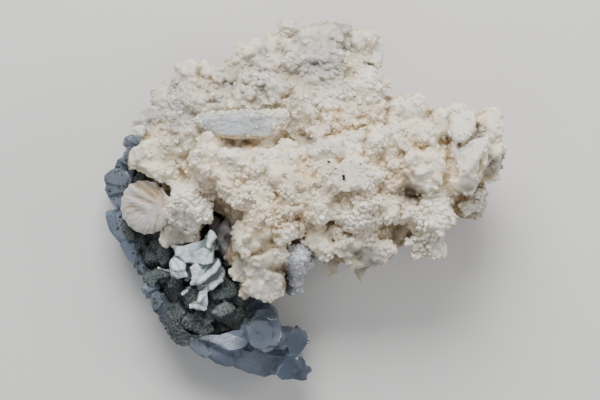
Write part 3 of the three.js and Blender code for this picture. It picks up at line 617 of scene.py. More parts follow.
# blades, plates and lenses traced from above:
# lift over the lumps below, thickness, tilt, way it leans, outline in mm
blades = {
    "bigPlate": (1.5, 3, 16, 150, [(-55.2, 25), (-53.8, 27.6), (-51.5, 29.6), (-49.8, 30.6), (-47, 30),
                                   (-44, 30), (-42, 28), (-44, 26.5), (-48, 25.8), (-51, 25.2)]),
    "whiteWedge": (1.2, 3, 20, 190, [(-56, 23.4), (-54, 24.2), (-50, 24.4), (-50.2, 21), (-52, 20.6),
                                     (-54.2, 21.8)]),
    "greyPlate": (1, 3, 22, 130, [(-49.5, 32), (-48, 33.6), (-46, 36), (-43.5, 36.2), (-42, 34), (-43, 31),
                                  (-46, 30)]),
    "leftBlade": (0.6, 2.4, 30, 150, [(-42.3, 37), (-41.5, 40), (-40.6, 42.6), (-39, 43.2), (-38.6, 40),
                                      (-39.5, 36.5)]),
    "peak": (1.2, 3, 20, 110, [(-39, 43), (-37.4, 45.2), (-35.6, 45.4), (-33.6, 43.4), (-34.5, 40.4),
                               (-37, 39.4), (-39.5, 40.4)]),
    "triangle": (1.2, 2.6, 18, 80, [(-33.6, 43.2), (-32.4, 45), (-31.2, 45.1), (-29.6, 42.4), (-29.2, 40.4),
                                    (-31, 38.8), (-33.4, 39.4)]),
    "ledgeA": (0.8, 2, 14, 80, [(-29, 40.2), (-27.8, 41.4), (-25.5, 41.1), (-24.8, 39), (-26.5, 37.8),
                                (-29, 38)]),
    "greyUpright": (1.4, 3, 26, 170, [(-25, 43.4), (-22.4, 44.9), (-21.2, 44), (-21, 39.5), (-22, 37.6),
                                      (-25, 38.6)]),
    "bluish": (1.2, 3, 22, 110, [(-21, 46), (-19.5, 48), (-17.6, 50.4), (-15.2, 52), (-13, 50.8),
                                 (-12.4, 48.5), (-14.5, 46.6), (-18, 45.6)]),
    "roundedBlade": (1, 3.4, 20, 100, [(-12.4, 50.4), (-10.6, 52.4), (-8.6, 52.8), (-7.6, 51.6),
                                       (-8.2, 48.4), (-9.6, 46.4), (-11.6, 47)]),
    "roundKnob": (1.2, 5, 8, 90, [(-7.4, 54), (-6.6, 56.2), (-4.6, 57.3), (-2.4, 56.2), (-1.6, 54),
                                  (-2.6, 52.2), (-5, 51.8)]),
    "smoothMass": (1.2, 5, 12, 85, [(-1.5, 55), (2, 56.2), (5.5, 56.3), (9, 56), (11.5, 54), (13.5, 52),
                                    (14, 50.6), (9, 50.4), (7, 47), (4, 46.4), (0, 46), (-1, 49),
                                    (-2, 52)]),
    "whiteLedge": (2, 1.8, 10, -90, [(-3, 46), (2, 46.4), (7, 46.2), (12.4, 45.8), (12, 44), (6, 44.2),
                                     (0, 44.4), (-3, 44.6)]),
    "clearCrystal": (0.8, 4, 12, 60, [(9.6, 56.6), (10.4, 58), (13.4, 58), (15.4, 56.6), (15.2, 53.6),
                                      (13, 52.6), (10.6, 54)]),
    "brightCorner": (1, 3, 18, 50, [(15.5, 55), (18, 53.8), (20.4, 52), (19.8, 49), (17, 48.5),
                                    (14.8, 50.5)]),
    "blueWhite": (1.4, 2.4, 24, 10, [(21.4, 50.6), (24.6, 50.6), (25.5, 48), (24.4, 44), (24, 41.6),
                                     (22.4, 41.4), (21.6, 45)]),
    "peachBlade": (0.8, 2.4, 18, 150, [(10.6, 46.6), (13.6, 48.4), (15, 46.4), (16.4, 43), (17, 40.4),
                                       (15.6, 40.4), (12.6, 43)]),
    "whiteBlock": (1.6, 3, 8, 100, [(-14.6, 40.2), (-13.4, 41), (-8, 40.2), (-8, 38.8), (-11, 37.6),
                                    (-14, 38)]),
    "greyRound": (2, 4, 16, 120, [(-12, 35.5), (-9.4, 38), (-6.6, 38.4), (-4, 37), (-3.4, 35), (-5.5, 33.4),
                                  (-9, 33.2), (-11.4, 33.6)]),
    "edgeBlock": (0.8, 3, 16, 20, [(22, 40.4), (25, 41), (28.8, 39), (28.8, 37), (27, 35.6), (23.5, 36.5)]),
    "topLump": (1.2, 3, 10, 70, [(16.4, 40.6), (19, 41.4), (22, 41.4), (23.6, 39.6), (21, 37.6),
                                 (17.6, 38.2)]),
    "stepHigh": (1.4, 2, 8, 90, [(-31.5, 34.4), (-27, 34.6), (-24.4, 34.8), (-25, 32.6), (-30.6, 32.2)]),
    "stepLow": (1.2, 2, 10, -80, [(-31, 31.2), (-26, 31.4), (-24.5, 30), (-26, 28.8), (-31, 29)]),
    "ledgeB": (1.2, 2, 14, -90, [(-24, 34.6), (-21, 35.2), (-15.5, 34.4), (-14.6, 32.8), (-18, 33),
                                 (-23.6, 33)]),
    "ledgeC": (1.2, 1.6, 14, -90, [(-24, 31.4), (-18, 30.8), (-13, 29.8), (-13.4, 28.9), (-20, 29.1),
                                   (-24, 29.8)]),
    "crescent": (1.4, 2.4, 16, 90, [(-12, 33), (-8, 34), (-3, 33.6), (-0.4, 32.6), (-1, 31), (-5, 30),
                                    (-10, 30.6)]),
    "shoulderLow": (0.8, 4, 24, 195, [(-56.4, 12.4), (-55.4, 16.6), (-53, 17.6), (-50.6, 16), (-50.6, 12.4),
                                      (-52.6, 10.4), (-55, 10.4)]),
    "shoulderHigh": (0.8, 4, 14, 190, [(-52, 19.4), (-48, 20.2), (-45, 18.6), (-44.6, 15), (-47, 13),
                                       (-50.6, 14)]),
    "bigLump": (1, 5, 6, -60, [(-36, 15.6), (-33, 17), (-27, 17.6), (-22, 16), (-20, 12), (-22, 8.4),
                               (-27, 7), (-33, 8), (-36, 11)]),
    "clusterTop": (1, 3, 12, 100, [(27, 32), (30.6, 32.4), (31, 28), (29, 25.5), (26.5, 26)]),
    "bigTop": (1.2, 5, 14, 90, [(31.2, 32), (34, 33.4), (37.6, 33.4), (38.9, 32.6), (38.9, 30), (40, 28.6),
                                (38, 26.5), (34, 26.5), (31.5, 28)]),
    "fanA": (1.6, 2.6, 30, 190, [(40.6, 28.2), (43.4, 29.8), (45, 29), (46.4, 25), (46, 22), (43, 21.5),
                                 (41, 24)]),
    "fanB": (1.4, 4.4, 12, 110, [(45.6, 29.6), (47.6, 30.7), (50.4, 30), (53.6, 28), (54.8, 26), (54, 22),
                                 (51, 18.5), (48, 18), (46.2, 22)]),
    "fanC": (0.8, 2.6, 26, 200, [(54.8, 26.6), (57.4, 27.6), (58, 24), (56, 20.4), (53.5, 19.5)]),
    "fanD": (1.4, 4, 14, 40, [(57.4, 28.4), (59, 29.6), (61.6, 29.6), (63.2, 26), (63.9, 22.6), (62, 20.4),
                              (59.6, 19.6), (58, 22.6)]),
    "crossing": (2, 1.8, 30, 150, [(48, 13.6), (50, 17), (53, 19.4), (59.4, 20.8), (58, 17), (55, 12),
                                   (52, 8), (49.4, 7)]),
    "curtainA": (2.6, 2.2, 40, 200, [(45.6, 18), (48.4, 18.5), (50, 15), (50.4, 10), (51.6, 7), (49.4, 7.4),
                                     (47, 11)]),
    "curtainB": (3, 1.8, 34, 20, [(50.4, 15), (52.4, 14.6), (53.6, 10), (54.8, 7), (53, 6.4), (51, 9)]),
    "rightUpper": (1, 2.6, 24, 30, [(57, 19), (60.6, 20), (62.6, 19.4), (63.2, 16), (60.5, 13.6),
                                    (57.5, 15)]),
    "brownFace": (1.4, 2, 30, -50, [(52.4, 11), (57, 14.6), (60, 13.4), (57.4, 9.4), (54, 6.6)]),
    "edgeBlade": (0.6, 2.4, 36, -20, [(60, 14.4), (63.9, 14.4), (62.4, 10.4), (60, 8), (57.6, 8.6)]),
    "translucent": (2, 2, 30, -80, [(45.6, 7.4), (47, 4.4), (50, 2.6), (51.4, 3), (54.4, 5.4), (56, 7),
                                    (50, 6.8)]),
    "lobe": (1, 5, 12, -90, [(32.6, 15), (37, 16.5), (42, 16), (45, 13), (45, 8), (42.5, 4.5), (38.5, 2),
                             (36.5, 3.8), (34.4, 8)]),
    "lobeEdge": (2.4, 1.6, 40, 0, [(31, 9.6), (33, 9.8), (35, 7.6), (37.4, 2.6), (36.6, 2), (34.6, 4.6),
                                   (33, 7.6)]),
    "crustLow": (0.8, 3, 34, -50, [(50.4, -1), (52, 2.6), (55, 4), (58.6, 3.6), (58.4, -0.6), (55.6, -4.8),
                                   (51.6, -5)]),
    "skirtA": (2.5, 4, 30, -85, [(9.5, -13), (12, -18), (14.5, -22.5), (17.6, -21.6), (22.6, -21.8),
                                 (26, -20), (28.6, -18), (30, -15), (28.4, -12), (20, -11), (12, -11)]),
    "skirtB": (2.2, 4, 30, -80, [(31, -12), (34, -16.4), (37.6, -18.2), (42, -17.8), (45, -17.4), (46, -14),
                                 (44, -11), (36, -10)]),
    "lensD": (1, 3, 30, -140, [(0.6, -11.4), (1.6, -15.4), (4.4, -18), (7, -19.6), (8.8, -18.6), (9.4, -15),
                               (8, -12), (5, -10), (2, -9.6)]),
    "prism": (1, 3, 26, -80, [(6.4, -16), (6.8, -22), (8.8, -25), (11, -23.8), (11.4, -20), (10.6, -15.6)]),
    "hanging": (1, 3, 26, -90, [(15.4, -17), (16.8, -22), (17.4, -25), (18.4, -26.6), (19.6, -25.8),
                                (19.4, -23.4), (21.4, -20), (20.8, -16.6)]),
    "lensE": (1.2, 4, 20, 200, [(-22, -12.5), (-21.4, -9.6), (-18.5, -8.2), (-15, -9), (-13.4, -12),
                                (-14.4, -15.6), (-17.6, -17.6), (-21, -16)]),
    "fold": (1.6, 3, 16, -80, [(-19.4, -19), (-17.4, -17), (-12, -15.4), (-6, -15), (-4.4, -17),
                               (-6, -19.4), (-12, -20.6), (-17, -20.8)]),
    "shelf": (1.2, 3, 20, -90, [(-20.4, -22), (-18, -20.4), (-12, -21.4), (-7, -22), (-6, -24),
                                (-10, -24.4), (-17, -24.4)]),
    "lowerLens": (1.2, 4.4, 20, -90, [(-19.6, -25.4), (-15, -23.6), (-9, -23.8), (-6.2, -25.6), (-6, -28.4),
                                      (-8.4, -31.4), (-12, -32.2), (-17, -30.8), (-19.8, -28.6)]),
    "paleDisc": (1, 2.6, 24, 190, [(-24, -23), (-22.8, -20.6), (-20.6, -19.4), (-19.4, -22), (-19.4, -26),
                                   (-20.6, -27.6), (-22.6, -26)]),
    "lowerEdge": (0.6, 2, 24, 210, [(-20, -28), (-18.4, -26.4), (-17.2, -29), (-18, -31.6),
                                    (-19.6, -30.4)]),
    "peachFace": (1.2, 4, 14, -60, [(-11, 9.4), (-8, 10.2), (-4.6, 9), (-4.4, 6), (-7, 4), (-10, 4.6),
                                    (-11.6, 7)]),
    "whiteCube": (1, 3, 16, 200, [(-24.8, -9), (-23.6, -7.6), (-21.6, -8), (-21, -9.6), (-22.6, -10.8),
                                  (-24, -10.4)]),
    "blockA": (1.2, 4, 14, 140, [(3.4, 18), (6, 20), (10, 22), (12.6, 20), (12, 15.6), (8, 14.6),
                                 (4.6, 15.2)]),
    "blockB": (1.4, 4, 14, 110, [(12.8, 21), (15, 22.4), (18.6, 20), (18.4, 15.4), (15, 15), (12.6, 17)]),
    "blockC": (1, 4, 14, 120, [(20, 18.6), (20.8, 22), (24, 24), (28, 25.6), (30, 22), (27, 17.6),
                               (23, 16.4)]),
    "leafA": (3.2, 1.4, 50, 160, [(49, 18), (50.4, 18.4), (52, 13), (52.6, 8), (51.4, 7.6), (50, 12)]),
    "leafB": (3, 1.4, 46, 170, [(53, 17), (54.4, 17.2), (55.4, 12.6), (55.6, 9), (54.4, 8.8),
                                (53.4, 12.6)]),
    "leafC": (2.6, 1.4, 50, 150, [(56.4, 18.6), (57.8, 18.4), (58.6, 14), (58.4, 11), (57.2, 10.8),
                                  (56.6, 14)]),
    "leafD": (1.6, 1.4, 40, 140, [(60, 19), (62.4, 18.6), (63, 15), (61.6, 13.4), (60.4, 15.4)]),
    "leafE": (2.6, 2.4, 26, -60, [(48.4, 8.6), (53.4, 9.6), (55.2, 8.2), (53.6, 5.4), (51.4, 3.6),
                                  (49.6, 5.4)]),
    "fillA": (5, 8, 10, 90, [(26, -9), (29, -7.5), (33, -8.5), (34, -12), (31, -14.5), (27, -13.5)]),
    "fillB": (5, 8, 10, -80, [(9, -7), (12, -6.5), (14.5, -9), (13.5, -12.5), (10, -12.5), (8, -10)]),
    "fillC": (3, 6, 10, -80, [(-16, 16.5), (-15.5, 19.6), (-8, 20), (-7, 17), (-11, 15.5)]),
    "seamA": (0.5, 6, 10, 90, [(-47, 6.5), (-44, 7.5), (-41, 5), (-41.5, 1), (-43.5, 0.5), (-45, 3)]),
    "seamB": (0.5, 6, 10, 90, [(-44, 0.4), (-41.5, 1), (-40.5, -5), (-42, -8.5), (-44, -6)]),
    "bandA": (1, 4, 12, -80, [(4.6, 8.6), (6, 12), (9.4, 12.8), (12, 10.6), (11.6, 7), (8.6, 5.4),
                              (5.6, 6)]),
    "bandB": (1.2, 4, 14, -110, [(11.6, 9), (13, 12.6), (16.4, 13.6), (18.8, 11.4), (18.6, 7.8), (15.4, 6),
                                 (12.4, 6.6)]),
    "bandC": (1, 4, 16, -70, [(18.6, 9), (20, 11.8), (23.4, 11.4), (26.4, 9.2), (25.6, 6.6), (21.6, 5.6),
                              (19, 6.8)]),
    "midLeft": (1.2, 3, 10, 160, [(-20, 3.6), (-17, 5.2), (-12.6, 5), (-12, 2), (-14, -0.4), (-18, 0)]),
}


thinBlades = ("bigPlate", "whiteWedge", "clearCrystal", "blueWhite")
edgeBlades = ("hanging", "prism", "greyPlate", "peak", "triangle", "greyUpright", "bluish", "whiteLedge",
              "crossing", "curtainA", "curtainB",
              "translucent", "fanA", "fanB", "fanC", "fanD", "brightCorner", "leftBlade", "roundedBlade",
                  "leafA", "leafB",
              "leafC", "leafD", "leafE", "lobeEdge", "rightUpper", "brownFace", "edgeBlade", "stepHigh",
                  "stepLow", "ledgeA")


def tilted(points, tilt, lean):
    leaned, tipped = Matrix.Rotation(math.radians(lean), 3, "Z"), Matrix.Rotation(math.radians(tilt), 3,
        "Y")
    return points @ np.array(leaned @ tipped @ leaned.transposed()).T


def tracedBlade(outline, thickness, tilt, lean, rounding=0.28):
    deselectAll()
    bpy.ops.mesh.primitive_circle_add(vertices=len(outline), radius=1, fill_type="NGON")
    blade = bpy.context.object
    plan = np.array(outline) * mm
    middle = plan.mean(axis=0)
    flat = np.column_stack([plan - middle, np.full(len(plan), -0.5 * thickness * mm)])
    moveCorners(blade, flat)
    bpy.ops.object.mode_set(mode="EDIT")
    bpy.ops.mesh.select_all(action="SELECT")
    bpy.ops.mesh.extrude_region_move(TRANSFORM_OT_translate={"value": (0, 0, thickness * mm)})
    bpy.ops.mesh.select_all(action="SELECT")
    bpy.ops.mesh.normals_make_consistent(inside=False)
    bpy.ops.mesh.bevel(offset=rounding * thickness * mm, segments=2, affect="EDGES")
    bpy.ops.object.mode_set(mode="OBJECT")
    moveCorners(blade, tilted(cornersOf(blade), tilt, lean))
    return blade, middle


def joinedPieces(name, pieces):
    deselectAll()
    for piece in pieces:
        piece.select_set(True)
    bpy.context.view_layer.objects.active = pieces[0]
    bpy.ops.object.join()
    pieces[0].name = name
    return pieces[0]


def under(tree, x, y, fallback=0.024):
    hit = tree.ray_cast(Vector((x, y, 0.1)), Vector((0, 0, -1)))[0]
    return hit.z if hit else fallback


def insideBox(piece):
    low, high = (np.array(corner) for corner in cadBox)
    moveCorners(piece, np.clip(cornersOf(piece), low, high))


sugar = {
    # small crystals grown on the skin: how many, size
    "grains": (1600, (0.5 * mm, 1.0 * mm)),
    "rhombs": (6400, (0.45 * mm, 1.05 * mm)),
    "scales": (1400, (0.8 * mm, 1.8 * mm)),
    "knobSize": (0.42 * mm, 1.1 * mm),
    "blocks": (560, (0.9 * mm, 2.1 * mm)),
    "crisp": (4300, (0.35 * mm, 1.1 * mm)),
    # clusters of small rhombs: x, y, reach in mm, how many
    "clusters": [(-35, -3, 7.5, 240), (-33, -6, 4, 80), (18, -6, 8.5, 170), (41, -5, 8, 130),
                 (-4, -9, 6, 60), (24, 12, 6, 30),
                 (-22, 3, 6, 40), (20, 31, 7, 40), (-8, -2, 6, 30), (-17, 38, 4, 20), (6, 28, 5, 30),
                     (24, 0, 6, 50)],
}


def topFirst(centres, normals):
    return (0.3 + np.clip(normals[:, 2], 0, 1)) * (1.03 - zoneShare(centres, "smooth").clip(0, 1))


def upFirst(centres, normals):
    return 0.35 + np.clip(normals[:, 2], 0, 1)


def sugarOn(skin, random):
    pieces = []
    for kind, shape, tilt, sunk in (("grains", grainSeed(), 0.3, 0.0), ("rhombs", rhombSeed(), 0.6, 0.1),
                                    ("scales", scaleSeed(), 0.8, 0.0), ("blocks", rhombSeed(), 0.5, 0.3)):
        count, size = sugar[kind]
        places, normals = spots(skin, count, random, upFirst if kind == "blocks" else topFirst)
        sizes = sizesOf(count, random, *size, 1.3 if kind == "scales" else 1.0)
        pieces.append(scattered(kind, shape, places - normals * sizes[:, 2:3] * sunk,
                                turns(normals, random, tilt), sizes))
    return pieces


def knobsOn(tree, skin, random):
    hits = []
    for x, y, reach, count in sugar["clusters"]:
        angle, away = 2 * np.pi * random.random(count), reach * np.sqrt(random.random(count))
        for px, py in zip((x + away * np.cos(angle)) * mm, (y + away * np.sin(angle)) * mm):
            place, normal = tree.ray_cast(Vector((px, py, 0.1)), Vector((0, 0, -1)))[:2]
            if place and place.z > 0.021:
                hits.append((*place, *normal))
    hits = np.array(hits)
    sizes = sizesOf(len(hits), random, *sugar["knobSize"])
    knobs = scattered("crownKnobs", rhombSeed(), hits[:, :3] + hits[:, 3:] * sizes[:, 2:3] * 0.3,
                      turns(hits[:, 3:], random, 0.7), sizes, True)
    count, size = sugar["crisp"]
    places, normals = spots(skin, count, random, topFirst)
    sizes = sizesOf(count, random, *size)
    crisp = scattered("crownSugar", rhombSeed(), places - normals * sizes[:, 2:3] * 0.25,
                      turns(normals, random, 0.5), sizes)
    for piece in (knobs, crisp):
        insideBox(piece)
        piece.data.materials.append(sugarCalcite)
    return [knobs, crisp]


def setDown(name, rows, tree, rounding=0.28, fallback=0.024):
    traced = []
    for lift, thickness, tilt, lean, outline in rows:
        blade, middle = tracedBlade(outline, thickness, tilt, lean, rounding)
        top = under(tree, middle[0], middle[1], fallback) + (lift - 0.5 * thickness) * mm
        moveCorners(blade, cornersOf(blade) + np.array([middle[0], middle[1], top]))
        traced.append(blade)
    return joinedPieces(name, traced)


def budded(piece, size, lift, shareOf=None):
    corners = cornersOf(piece)
    normals = np.empty(len(corners) * 3)
    piece.data.vertices.foreach_get("normal", normals)
    away = np.array([noise.voronoi(Vector(c) / size)[0][0] for c in corners])
    share = shareOf(corners) if shareOf else np.ones(len(corners))
    moveCorners(piece, corners + normals.reshape(-1, 3) * ((0.4 - away) * lift * share)[:, None])


def lumpShare(centres, normals):
    return 0.3 + np.clip(normals[:, 2], 0, 1)


def roughShare(corners):
    return 1 - 0.85 * zoneShare(corners, "smooth").clip(0, 1)


def wallShare(corners):
    return np.clip((26 * mm - corners[:, 2]) / (4 * mm), 0, 1)


def makeCrownSkin():
    skin = copyOfNode("calcite_crown", "crownSkin")
    remeshed(skin, crown["coarseVoxel"])
    applied(skin, "DISPLACE", direction="NORMAL", mid_level=0, strength=crown["fuse"])
    remeshed(skin, crown["coarseVoxel"])
    applied(skin, "DISPLACE", direction="NORMAL", mid_level=0, strength=-crown["fuse"])
    settled(skin, 6)
    tree = treeOf(skin)

    random = np.random.default_rng(5)
    places, normals = spots(skin, crown["lumps"], random, lumpShare)
    sizes = sizesOf(len(places), random, *crown["lumpSize"])
    half = len(places) // 2
    flat = sizes[half:] * np.array([1.3, 1.1, 1.6])
    lumps = [scattered("lumpsA", rhombSeed(), places[:half] - normals[:half] * sizes[:half, 2:3] * 0.5,
                       turns(normals[:half], random, 0.5), sizes[:half]),
             scattered("lumpsB", scaleSeed(), places[half:] - normals[half:] * sizes[half:, 2:3] * 0.1,
                       turns(normals[half:], random, 0.55), flat)]
    skin = joinedPieces("crownSkin", [skin, *lumps])
    remeshed(skin, crown["lumpVoxel"])
    settled(skin, crown["settle"])
    wave = surfaceTexture("crownWave", "CLOUDS", crown["waveSize"], noise_depth=2)
    roughened(skin, wave, crown["waveLift"])
    thin, edged, rounded = [], [], []
    for name, row in blades.items():
        (thin if name in thinBlades else edged if name in edgeBlades else rounded).append(row)
    swell = surfaceTexture("bladeSwell", "CLOUDS", crown["swellSize"], noise_depth=2)
    masses = setDown("crownMasses", rounded, tree)
    remeshed(masses, crown["massVoxel"])
    roughened(masses, swell, crown["massSwell"])
    edges = setDown("crownEdges", edged, tree, 0.2)
    remeshed(edges, crown["edgeVoxel"])
    roughened(edges, swell, crown["edgeSwell"])
    skin = joinedPieces("crownSkin", [skin, masses])
    remeshed(skin, crown["lumpVoxel"])
    for size, lift in crown["buds"]:
        budded(skin, size, lift, roughShare)
    budded(skin, *crown["wallBuds"], wallShare)
    settled(skin, 2)
    skin = joinedPieces("crownSkin", [skin, edges, *sugarOn(skin, random)])
    remeshed(skin, crown["voxel"])
    settled(skin, 1)
    skin.data.materials.append(creamCalcite)

    plates = setDown("crownBlades", thin, tree)
    remeshed(plates, crown["plateVoxel"])
    settled(plates, 1)
    for name, size, lift in crown["plateWaves"]:
        roughened(plates, surfaceTexture(name, "CLOUDS", size, noise_depth=2), lift)
    plates.data.materials.append(bladeCalcite)
    for piece in (skin, plates):
        corners = cornersOf(piece)
        waver = np.array([noise.noise_vector(Vector(c) * 400) for c in corners]) * crown["crackWaver"]
        high = np.clip((corners[:, 2] - 18 * mm) / (4 * mm), 0, 1)  # the cracks end on the wall
        corners[:, 2] -= crackShare(corners + waver)[1] * high
        moveCorners(piece, corners)
        insideBox(piece)
        applied(piece, "DECIMATE", ratio=min(1, crown["faces"] / (2 * len(piece.data.polygons))))
        smoothShaded(piece, 28)
        print(piece.name, "faces", len(piece.data.polygons))
    return skin, plates, *knobsOn(treeOf(skin, plates), skin, random)


crownSkin, crownBlades, crownKnobs, crownSugar = makeCrownSkin()
report("crown skin")

# how deep each place lies under the crown's local average height, which sets the painted shade in hollows
mapStep = 0.8 * mm
mapLow = np.array([-70 * mm, -64 * mm])
mapSize = (176, 160)


def blurredRow(row, weights):
    return np.convolve(np.pad(row, len(weights) // 2, mode="edge"), weights, "valid")


def blurred(field, reach):
    offsets = np.arange(-2 * reach, 2 * reach + 1)
    weights = np.exp(-0.5 * (offsets / reach) ** 2)
    weights /= weights.sum()
    for axis in (0, 1):
        field = np.apply_along_axis(blurredRow, axis, field, weights)
    return field


def heightMap(tree):
    heights = np.zeros(mapSize)
    for i in range(mapSize[0]):
        for j in range(mapSize[1]):
            x, y = mapLow[0] + i * mapStep, mapLow[1] + j * mapStep
            hit = tree.ray_cast(Vector((x, y, 0.1)), Vector((0, 0, -1)))[0]
            heights[i, j] = hit.z if hit else 0.0
    return heights


def averaged(heights, reach):  # the mean height of what is there, in map steps round each place
    return blurred(heights, reach) / np.maximum(blurred((heights > 0).astype(float), reach), 0.05)


heights = heightMap(treeOf(crownSkin, crownBlades))
wide, near = averaged(heights, 5), averaged(heights, 2)
inland = blurred((heights > 0).astype(float), 3)
report("height map")


def looked(field, points):
    place = (points[:, :2] - mapLow) / mapStep
    i = np.clip(place[:, 0].astype(int), 0, mapSize[0] - 2)
    j = np.clip(place[:, 1].astype(int), 0, mapSize[1] - 2)
    u, v = np.clip(place[:, 0] - i, 0, 1), np.clip(place[:, 1] - j, 0, 1)
    return (field[i, j] * (1 - u) * (1 - v) + field[i + 1, j] * u * (1 - v)
            + field[i, j + 1] * (1 - u) * v + field[i + 1, j + 1] * u * v)


# painted shade in hollows and seams: how much each measure adds
hollows = {
    "near": (0.6, 2.2 * mm), "wide": (0.4, 5 * mm),  # share, depth that counts fully
    "cracks": [(0.55, 1.1), (0.35, 2.6)],  # share, how much wider than the crack
    "heights": (15 * mm, 29 * mm), "most": (0.4, 1),  # low places darken less
}


def paint(piece):
    points = cornersOf(piece)
    # painted shade: deeper under the local average and nearer a seam is darker, less near the outline and
    # low down
    depth = 0
    for field, (share, full) in ((near, hollows["near"]), (wide, hollows["wide"])):
        depth = depth + share * (looked(field, points) - points[:, 2]) / full
    for share, wider in hollows["cracks"]:
        depth = depth + share * crackShare(points, wider)[0]
    depth = depth * np.clip((looked(inland, points) - 0.4) / 0.35, 0.3, 1)
    mostRecessShade = np.interp(points[:, 2], hollows["heights"], hollows["most"])
    setFloat(piece, "recessShade", np.clip(0.25 + 0.5 * depth, 0, mostRecessShade))
    for key, zone in (("warmth", "ochreAndWarmShade"), ("tone", "white"), ("grey", "grey"), ("shade", "shade")):
        setFloat(piece, key, zoneShare(points, zone))


for piece in (crownSkin, crownBlades, crownKnobs, crownSugar):
    paint(piece)
    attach(piece, "root")
    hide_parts("calcite_crown")


quartz = {
    "voxel": 0.8 * mm,
    "roughSize": 8 * mm, "roughLift": 2.0 * mm,
    "chipSize": 3.0 * mm, "chipLift": 0.7 * mm,
    "lumps": [(11 * mm, 3.4 * mm), (5 * mm, 1.5 * mm)],  # size, lift
    "wallLumps": (4.6 * mm, 2.4 * mm),
    "faceGrowth": 1.14, "faceRounding": 0.035, "fallback": 0.016,
    "joinVoxel": 0.5 * mm, "waveSize": 2.6 * mm, "waveLift": 0.7 * mm,
    "facets": 0.07,  # share of the faces kept, which leaves flat facets
    "points": 300, "pointSize": (0.5 * mm, 1.9 * mm),
    "wallCrystals": 150, "wallSize": (2.6 * mm, 7.5 * mm), "wallLength": 0.6,
    # chlorite dust on the quartz: x, y, reach in mm, how much
    "dusted": [(-39, -39, 7, 1.0), (-46, -30, 4, 0.5), (-57, -7, 4, 0.35), (-53, -16, 4, 0.35),
               (-59, 4, 8, 0.2),
               (-34, -41, 5, 0.7), (-19, -36, 4, 0.4), (-51, -23, 4, 0.5), (-56, 12, 6, 0.25),
                   (-41, -44, 4, 0.7)],
    # milky, brighter places
    "milk": [(-48.5, -28, 4, 1), (-57, -13, 4, 0.9), (-54, -19, 4, 0.7), (-25, -46, 6, 0.85),
             (-32, -47, 4, 0.6), (-60, -9, 3, 0.6), (-56, -16, 3, 0.8), (-44, -32, 4, 0.6),
             (-62, -2, 5, 0.8), (-50, -25, 4, 0.8), (-61, 6, 5, 0.35),
             (-30, -42, 3, 0.5), (-20, -41, 3, 0.6), (-62, -6, 3, 0.5), (-7.5, -45, 2, 0.5),
                 (-15, -51, 7, 0.42)],
    # clearer, darker places
    "clear": [(-3, -53, 5, 0.7), (-14, -43.5, 5, 0.42), (-3, -46, 4, 0.5), (-11, -38, 4, 0.4),
              (-16, -34.5, 4, 0.4)],
}


